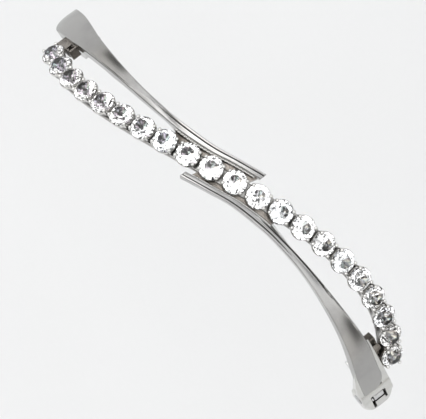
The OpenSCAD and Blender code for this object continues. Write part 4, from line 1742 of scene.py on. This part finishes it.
@dataclass(frozen=True)
class Jaw:
    """The lower jaw: knuckle, neck, bar, stem and barb, with its soft toothed strip. Millimetres."""

    arch: Arch
    pivot: Pivot
    catch: Pivot
    radius: float = 42.5
    drop: float = 8.4
    thickness: float = 1.2
    knuckle_width: float = 1.94
    knuckle_radius: float = 1.85
    bore: float = 0.65
    stem_width: float = 1.6
    voxel: float = 0.09
    smoothing: int = 4
    strip_half: float = 0.45
    strip_thickness: float = 0.4
    strip_reach: float = 27.0
    tooth_height: float = 0.7
    tooth_pitch: float = 2.4

    def surface(self, x: Any, y: Any, depth: Any) -> np.ndarray:
        """A place depth millimetres under the bar's upper face; x is counted from the apex."""
        lean = np.arcsin(np.asarray(x, float) / self.radius)
        r = self.radius - np.asarray(depth, float)
        side, across, up = np.broadcast_arrays(r * np.sin(lean), np.asarray(y, float), r * np.cos(lean))
        base = self.arch.top_z - self.drop - self.radius
        return np.stack([self.arch.centre_x + side, across, base + up], axis=-1)

    def strip(self, x0: float, x1: float, half: float | None, top: float, bottom: float, count: int) -> Draft:
        """A rounded strip along the bar's middle line.

        Args:
            x0: Where it starts, from the apex.
            x1: Where it ends.
            half: Half its width, or None for the bar's own.
            top: Depth of its upper face.
            bottom: Depth of its lower face.
            count: How many sections it has.

        Returns:
            The strip.
        """
        angle = np.arange(24) * math.pi / 12
        across = np.sign(np.cos(angle)) * np.abs(np.cos(angle)) ** 0.4
        over = np.sign(np.sin(angle)) * np.abs(np.sin(angle)) ** 0.4
        rings = []
        for x in np.linspace(x0, x1, count):
            middle = float(through(JAW_LINE, x, 1))
            wide = float(through(JAW_LINE, x, 2)) if half is None else half
            depth = (top + bottom) / 2 - over * (bottom - top) / 2
            rings.append(self.surface(x, middle + across * wide, depth))
        return Draft().rings(rings)

    def knuckle(self) -> tuple[float, float]:
        """Where the knuckle starts and ends across the clip."""
        return self.pivot.y - self.knuckle_width / 2, self.pivot.y + self.knuckle_width / 2

    def stem_reach(self) -> float:
        """How far the stem's face stands from the catch pin."""
        return NOSE_RADIUS * math.cos(math.radians(NOSE_FROM)) + 0.1

    def neck(self) -> Draft:
        """The neck between the bar and the knuckle."""
        upper = self.surface(33.2, 0.0, 0.1)
        lower = self.surface(33.7, 0.0, self.thickness - 0.1)
        x, z = self.pivot.x, self.pivot.z
        outline = [(upper[0], upper[2]), (x - 1.3, z + 1.3), (x, z), (x - 0.8, z - 1.5), (lower[0], lower[2])]
        return Draft().extruded(outline, *self.knuckle())

    def stem(self) -> Draft:
        """The stem with the barb that hooks over the catch lever's nose."""
        x, z = self.catch.x, self.catch.z
        reach = self.stem_reach()
        barb = NOSE_RADIUS * math.cos(math.radians(57)) + 0.16
        high = z + 3.0
        arc = []
        for turn in np.linspace(math.radians(9), math.radians(52), 9):
            r = NOSE_RADIUS + 0.08
            arc.append((max(x + r * math.cos(turn), x + barb), z + r * math.sin(turn)))
        outline = [(x + reach, z - 2.25), (x + reach + 1.2, z - 2.25), (x + reach + 1.2, high - 0.3),
                   (x + reach + 0.9, high), (x + reach, high), (x + barb, high - 0.5)]
        outline += [point for point in reversed(arc) if point[1] < high - 0.75]
        half = self.stem_width / 2
        return Draft().extruded(outline, self.catch.y - half, self.catch.y + half)

    def build(self, setting: SettingTree, yard: Yard) -> None:
        """Casts the jaw and moulds its strip and teeth."""
        start = self.catch.x - self.arch.centre_x + self.stem_reach()
        y0, y1 = self.knuckle()
        parts = [self.strip(start + 0.02, 34.2, None, 0.0, self.thickness, 120).build("bar"),
                 self.neck().build("neck"),
                 self.pivot.drum(self.knuckle_radius, y0, y1, 0.15).build("knuckle"),
                 self.stem().build("stem")]
        jaw = cast("lower_jaw_cast", parts, self.voxel, self.smoothing)
        cut(jaw, [self.pivot.drum(self.bore, y0 - 1, y1 + 1, steps=32).build("bore")], sharp=38.0)
        yard.deliver(jaw, Body.JAW, JAW_PLATE, ["lower_jaw"])

        reach, high = self.strip_reach, self.tooth_height
        strip = self.strip(-reach, reach, self.strip_half, -self.strip_thickness, 0.02, 90)
        outline = [(0.0, -0.25), (0.40, -0.25), (0.40, 0.05), (0.37, 0.25), (0.27, high - 0.12),
                   (0.20, high - 0.03), (0.10, high), (0.0, high)]
        tooth = Draft().turned(outline, 14).build("tooth_unit", sharp=60.0)
        places, outs, alongs = [], [], []
        count = int(reach // self.tooth_pitch)
        for i in range(-count, count + 1):
            x = i * self.tooth_pitch
            lean = math.asin(x / self.radius)
            places.append(self.surface(x, float(through(JAW_LINE, x, 1)), -self.strip_thickness / 2) * MM)
            outs.append((math.sin(lean), 0.0, math.cos(lean)))
            alongs.append((math.cos(lean), 0.0, -math.sin(lean)))
        points = marked_points("tooth_places", np.array(places), np.array(outs), np.array(alongs))
        values = {"Unit": tooth, "Size": 1.0, "Turn": 0.0, "Loose Turn": 0.0, "Seed": 1}
        teeth = setting.grow("teeth", points, values, RUBBER)
        bpy.data.objects.remove(tooth)
        grip = joined("grip_strip_moulded", [strip.build("strip", sharp=60.0), teeth])
        yard.deliver(grip, Body.JAW, RUBBER, ["grip_strip"])


@dataclass(frozen=True)
class CatchLever:
    """The catch lever: hub, nose and ribbed thumb tab. Millimetres."""

    pivot: Pivot
    hub_radius: float = 1.1
    bore: float = 0.5
    nose_to: float = 62.0
    voxel: float = 0.05
    smoothing: int = 3
    rib: float = 0.09

    def build(self, yard: Yard) -> None:
        """Casts the lever and lays three grip ribs across its tab."""
        y0, y1 = span("catch_lever")
        x, z = self.pivot.x, self.pivot.z
        nose = [(x, z)]
        for a in np.radians(np.linspace(NOSE_FROM, self.nose_to, 9)):
            nose.append((x + NOSE_RADIUS * math.cos(a), z + NOSE_RADIUS * math.sin(a)))
        corners = ((-0.2, -0.9), (-0.95, -0.5), (-1.85, -1.5), (-1.9, -2.2), (-1.5, -2.4), (-0.9, -2.3))
        tab = [(x + a, z + b) for a, b in corners]
        parts = [self.pivot.drum(self.hub_radius, y0, y1, 0.1).build("hub"),
                 Draft().extruded(nose, y0, y1).build("nose"), Draft().extruded(tab, y0, y1).build("tab")]
        for k in range(3):
            rib = Pivot(x - 1.28 - 0.22 * k, 0.0, z - 0.9 - 0.26 * k)
            parts.append(rib.drum(self.rib, y0 + 0.08, y1 - 0.08, steps=12).build("rib"))
        lever = cast("catch_lever_cast", parts, self.voxel, self.smoothing)
        cut(lever, [self.pivot.drum(self.bore, y0 - 1, y1 + 1, steps=32).build("bore")], sharp=38.0)
        yard.deliver(lever, Body.CATCH, JAW_PLATE, ["catch_lever"])


# ---------------------------------------------------------------------------------------------------
# Studio
# ---------------------------------------------------------------------------------------------------


@dataclass(frozen=True)
class Studio:
    """Pale floor, soft lights, surroundings for the metal to mirror, and the camera. Millimetres."""

    arch: Arch
    floor_radius: float = 2200.0
    floor_depth: float = 85.0
    azimuth: float = 44.8
    elevation: float = 79.3
    roll: float = 7.0
    distance: float = 537.5
    lens: float = 292.0
    aim_left: float = 1.57
    aim_down: float = 5.36

    def lay_floor(self) -> None:
        """A large round sheet of pale board, low enough for the open jaw to swing over it."""
        steps, radius = 96, self.floor_radius
        turns = [2 * math.pi * i / steps for i in range(steps)]
        outline = [(radius * math.cos(a), radius * math.sin(a), -self.floor_depth) for a in turns]
        floor = Draft(outline, [tuple(range(steps))]).build("floor")
        floor.data.materials.append(Paper().material())

    def hang_lights(self) -> None:
        """A wide soft light overhead and a smaller one from the clip's near side."""
        for name, place, size, power, tone in (
            ("overhead", (-180, -160, 620), 420, 0.9, (1.0, 0.99, 0.98)),
            ("near_side", (-420, -520, 380), 300, 0.25, (1.0, 1.0, 1.0)),
        ):
            lamp = bpy.data.lights.new(name, "AREA")
            lamp.shape = "SQUARE"
            lamp.size = size * MM
            lamp.energy = power
            lamp.color = tone
            obj = bpy.data.objects.new(name, lamp)
            obj.location = Vector(place) * MM
            obj.rotation_mode = "QUATERNION"
            obj.rotation_quaternion = (-obj.location).to_track_quat("-Z", "Y")
            bpy.context.scene.collection.objects.link(obj)

    def surround(self) -> None:
        """A sky that is brightest overhead, with dark and bright panes to each side for contrast."""
        world = bpy.data.worlds.new("studio")
        bpy.context.scene.world = world
        world.use_nodes = True
        bench = Bench(world.node_tree)
        direction = bench.out("ShaderNodeTexCoord", which="Generated")
        parts = bench.node("ShaderNodeSeparateXYZ", None, {0: direction}).outputs
        x, y, z = (Wire(bench, parts[i]) for i in range(3))
        sky = z.ramp(0.05, 0.75) * 0.62 + 0.92
        aside = y.maths("ABSOLUTE", y)
        panes = (x.maths("ARCTAN2", y, x) * 9.0).sine() * (z * 11.0).sine()
        dark = panes.ramp(0.0, 0.2) * aside.ramp(0.08, 0.18)
        lit = sky * (1.0 - dark * 0.93) + panes.ramp(-0.2, -0.5) * aside.ramp(0.16, 0.34) * 0.9
        tint = bench.mixed(z.ramp(0.0, 0.6), colour(1.02, 1.0, 0.97), colour(0.99, 1.0, 1.01))
        shade = bench.out("ShaderNodeCombineXYZ", None, {0: lit, 1: lit, 2: lit})
        tone = bench.mixed(1.0, tint, shade, "MULTIPLY")
        back = bench.out("ShaderNodeBackground", None, {"Color": tone, "Strength": 1.0})
        bench.node("ShaderNodeOutputWorld", None, {"Surface": back})

    def set_camera(self) -> None:
        """Places the camera over the clip, a little towards its near side."""
        apex = Vector((self.arch.centre_x, 0.0, self.arch.top_z)) * MM
        az, el, roll = (math.radians(v) for v in (self.azimuth, self.elevation, self.roll))
        back = Vector((math.sin(az) * math.cos(el), -math.cos(az) * math.cos(el), math.sin(el)))
        level = Vector((math.cos(az), math.sin(az), 0.0))
        upright = back.cross(level)
        right = level * math.cos(roll) + upright * math.sin(roll)
        up = upright * math.cos(roll) - level * math.sin(roll)
        place = apex + back * self.distance * MM
        target = apex - right * self.aim_left * MM - up * self.aim_down * MM
        view = (place - target).normalized()
        right = up.cross(view).normalized()
        up = view.cross(right)
        data = bpy.data.cameras.new("camera")
        data.lens = self.lens
        data.clip_start = 0.01
        data.clip_end = 20.0
        camera = bpy.data.objects.new("camera", data)
        camera.matrix_world = Matrix((right, up, view)).transposed().to_4x4()
        camera.location = place
        bpy.context.scene.collection.objects.link(camera)
        bpy.context.scene.camera = camera

    def build(self) -> None:
        """Sets up the whole studio."""
        self.lay_floor()
        self.hang_lights()
        self.surround()
        self.set_camera()
        bpy.context.scene.view_settings.view_transform = "Standard"


def main() -> None:
    """Builds the clip's looks piece by piece, then the studio."""
    logging.basicConfig(level=logging.INFO, format="%(name)s: %(message)s")
    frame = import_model()
    arch = Arch.measured()
    row = StoneRow(arch)
    yard = Yard()
    setting, beads = SettingTree(), BeadTree()
    left = Blade(arch, Side.LEFT, ridge=((3.0, 0.04), (3.4, 0.12), (4.0, 0.37), (5.0, 0.84), (6.0, 0.86),
                                         (8.0, 0.9), (9.5, 0.97)),
                 groove=(30.0, 31.0, 0.5), facet_slope=0.42, end_roll=0.16, end_u=11.4)
    right = Blade(arch, Side.RIGHT, ridge=((2.0, 0.80), (3.0, 0.78), (6.0, 0.86), (8.0, 0.93), (9.5, 0.97)),
                  groove=(2.2, 5.9, 0.84), facet_slope=0.42, end_roll=0.0, end_u=11.15, corner_share=0.55,
                  trim=0.75)
    for blade, bridge_stop in ((left, 9.78), (right, 10.22)):
        blade.build(yard)
        TailLedge(blade, row).build(beads, yard)
        Bridge(blade, row, bridge_stop).build(yard)
    Rail(row).build(yard)
    Stones(row).build(setting, yard)
    ClawCups(row).build(setting, yard)
    hinge = Pivot.of(frame["joints"], "jaw_hinge")
    catch = Pivot.of(frame["joints"], "catch_press")
    coils = CoilTree()
    HingeBlock(right, hinge).build(yard)
    Jaw(arch, hinge, catch).build(setting, yard)
    CatchLever(catch).build(yard)
    rivet(hinge, "hinge_rivet", "hinge_pin", 0.6, 0.25, yard)
    rivet(catch, "catch_rivet", "catch_pin", 0.45, 0.2, yard)
    Coil(hinge, "jaw_spring", 0.13, 0.25).build(coils, yard)
    Coil(catch, "catch_spring", 0.1, 0.15).build(coils, yard)
    # The webs take the dark plate as painted shade in the gaps between the parts.
    for node, finish in (("catch_housing", POLISHED), ("upper_web", PAINTED_RECESS_SHADE), ("lower_web", PAINTED_RECESS_SHADE)):
        yard.redress(frame["nodes"][node], finish)
    Studio(arch).build()
    log.info("%d pieces handed over", yard.count)


if __name__ == "__main__":
    main()
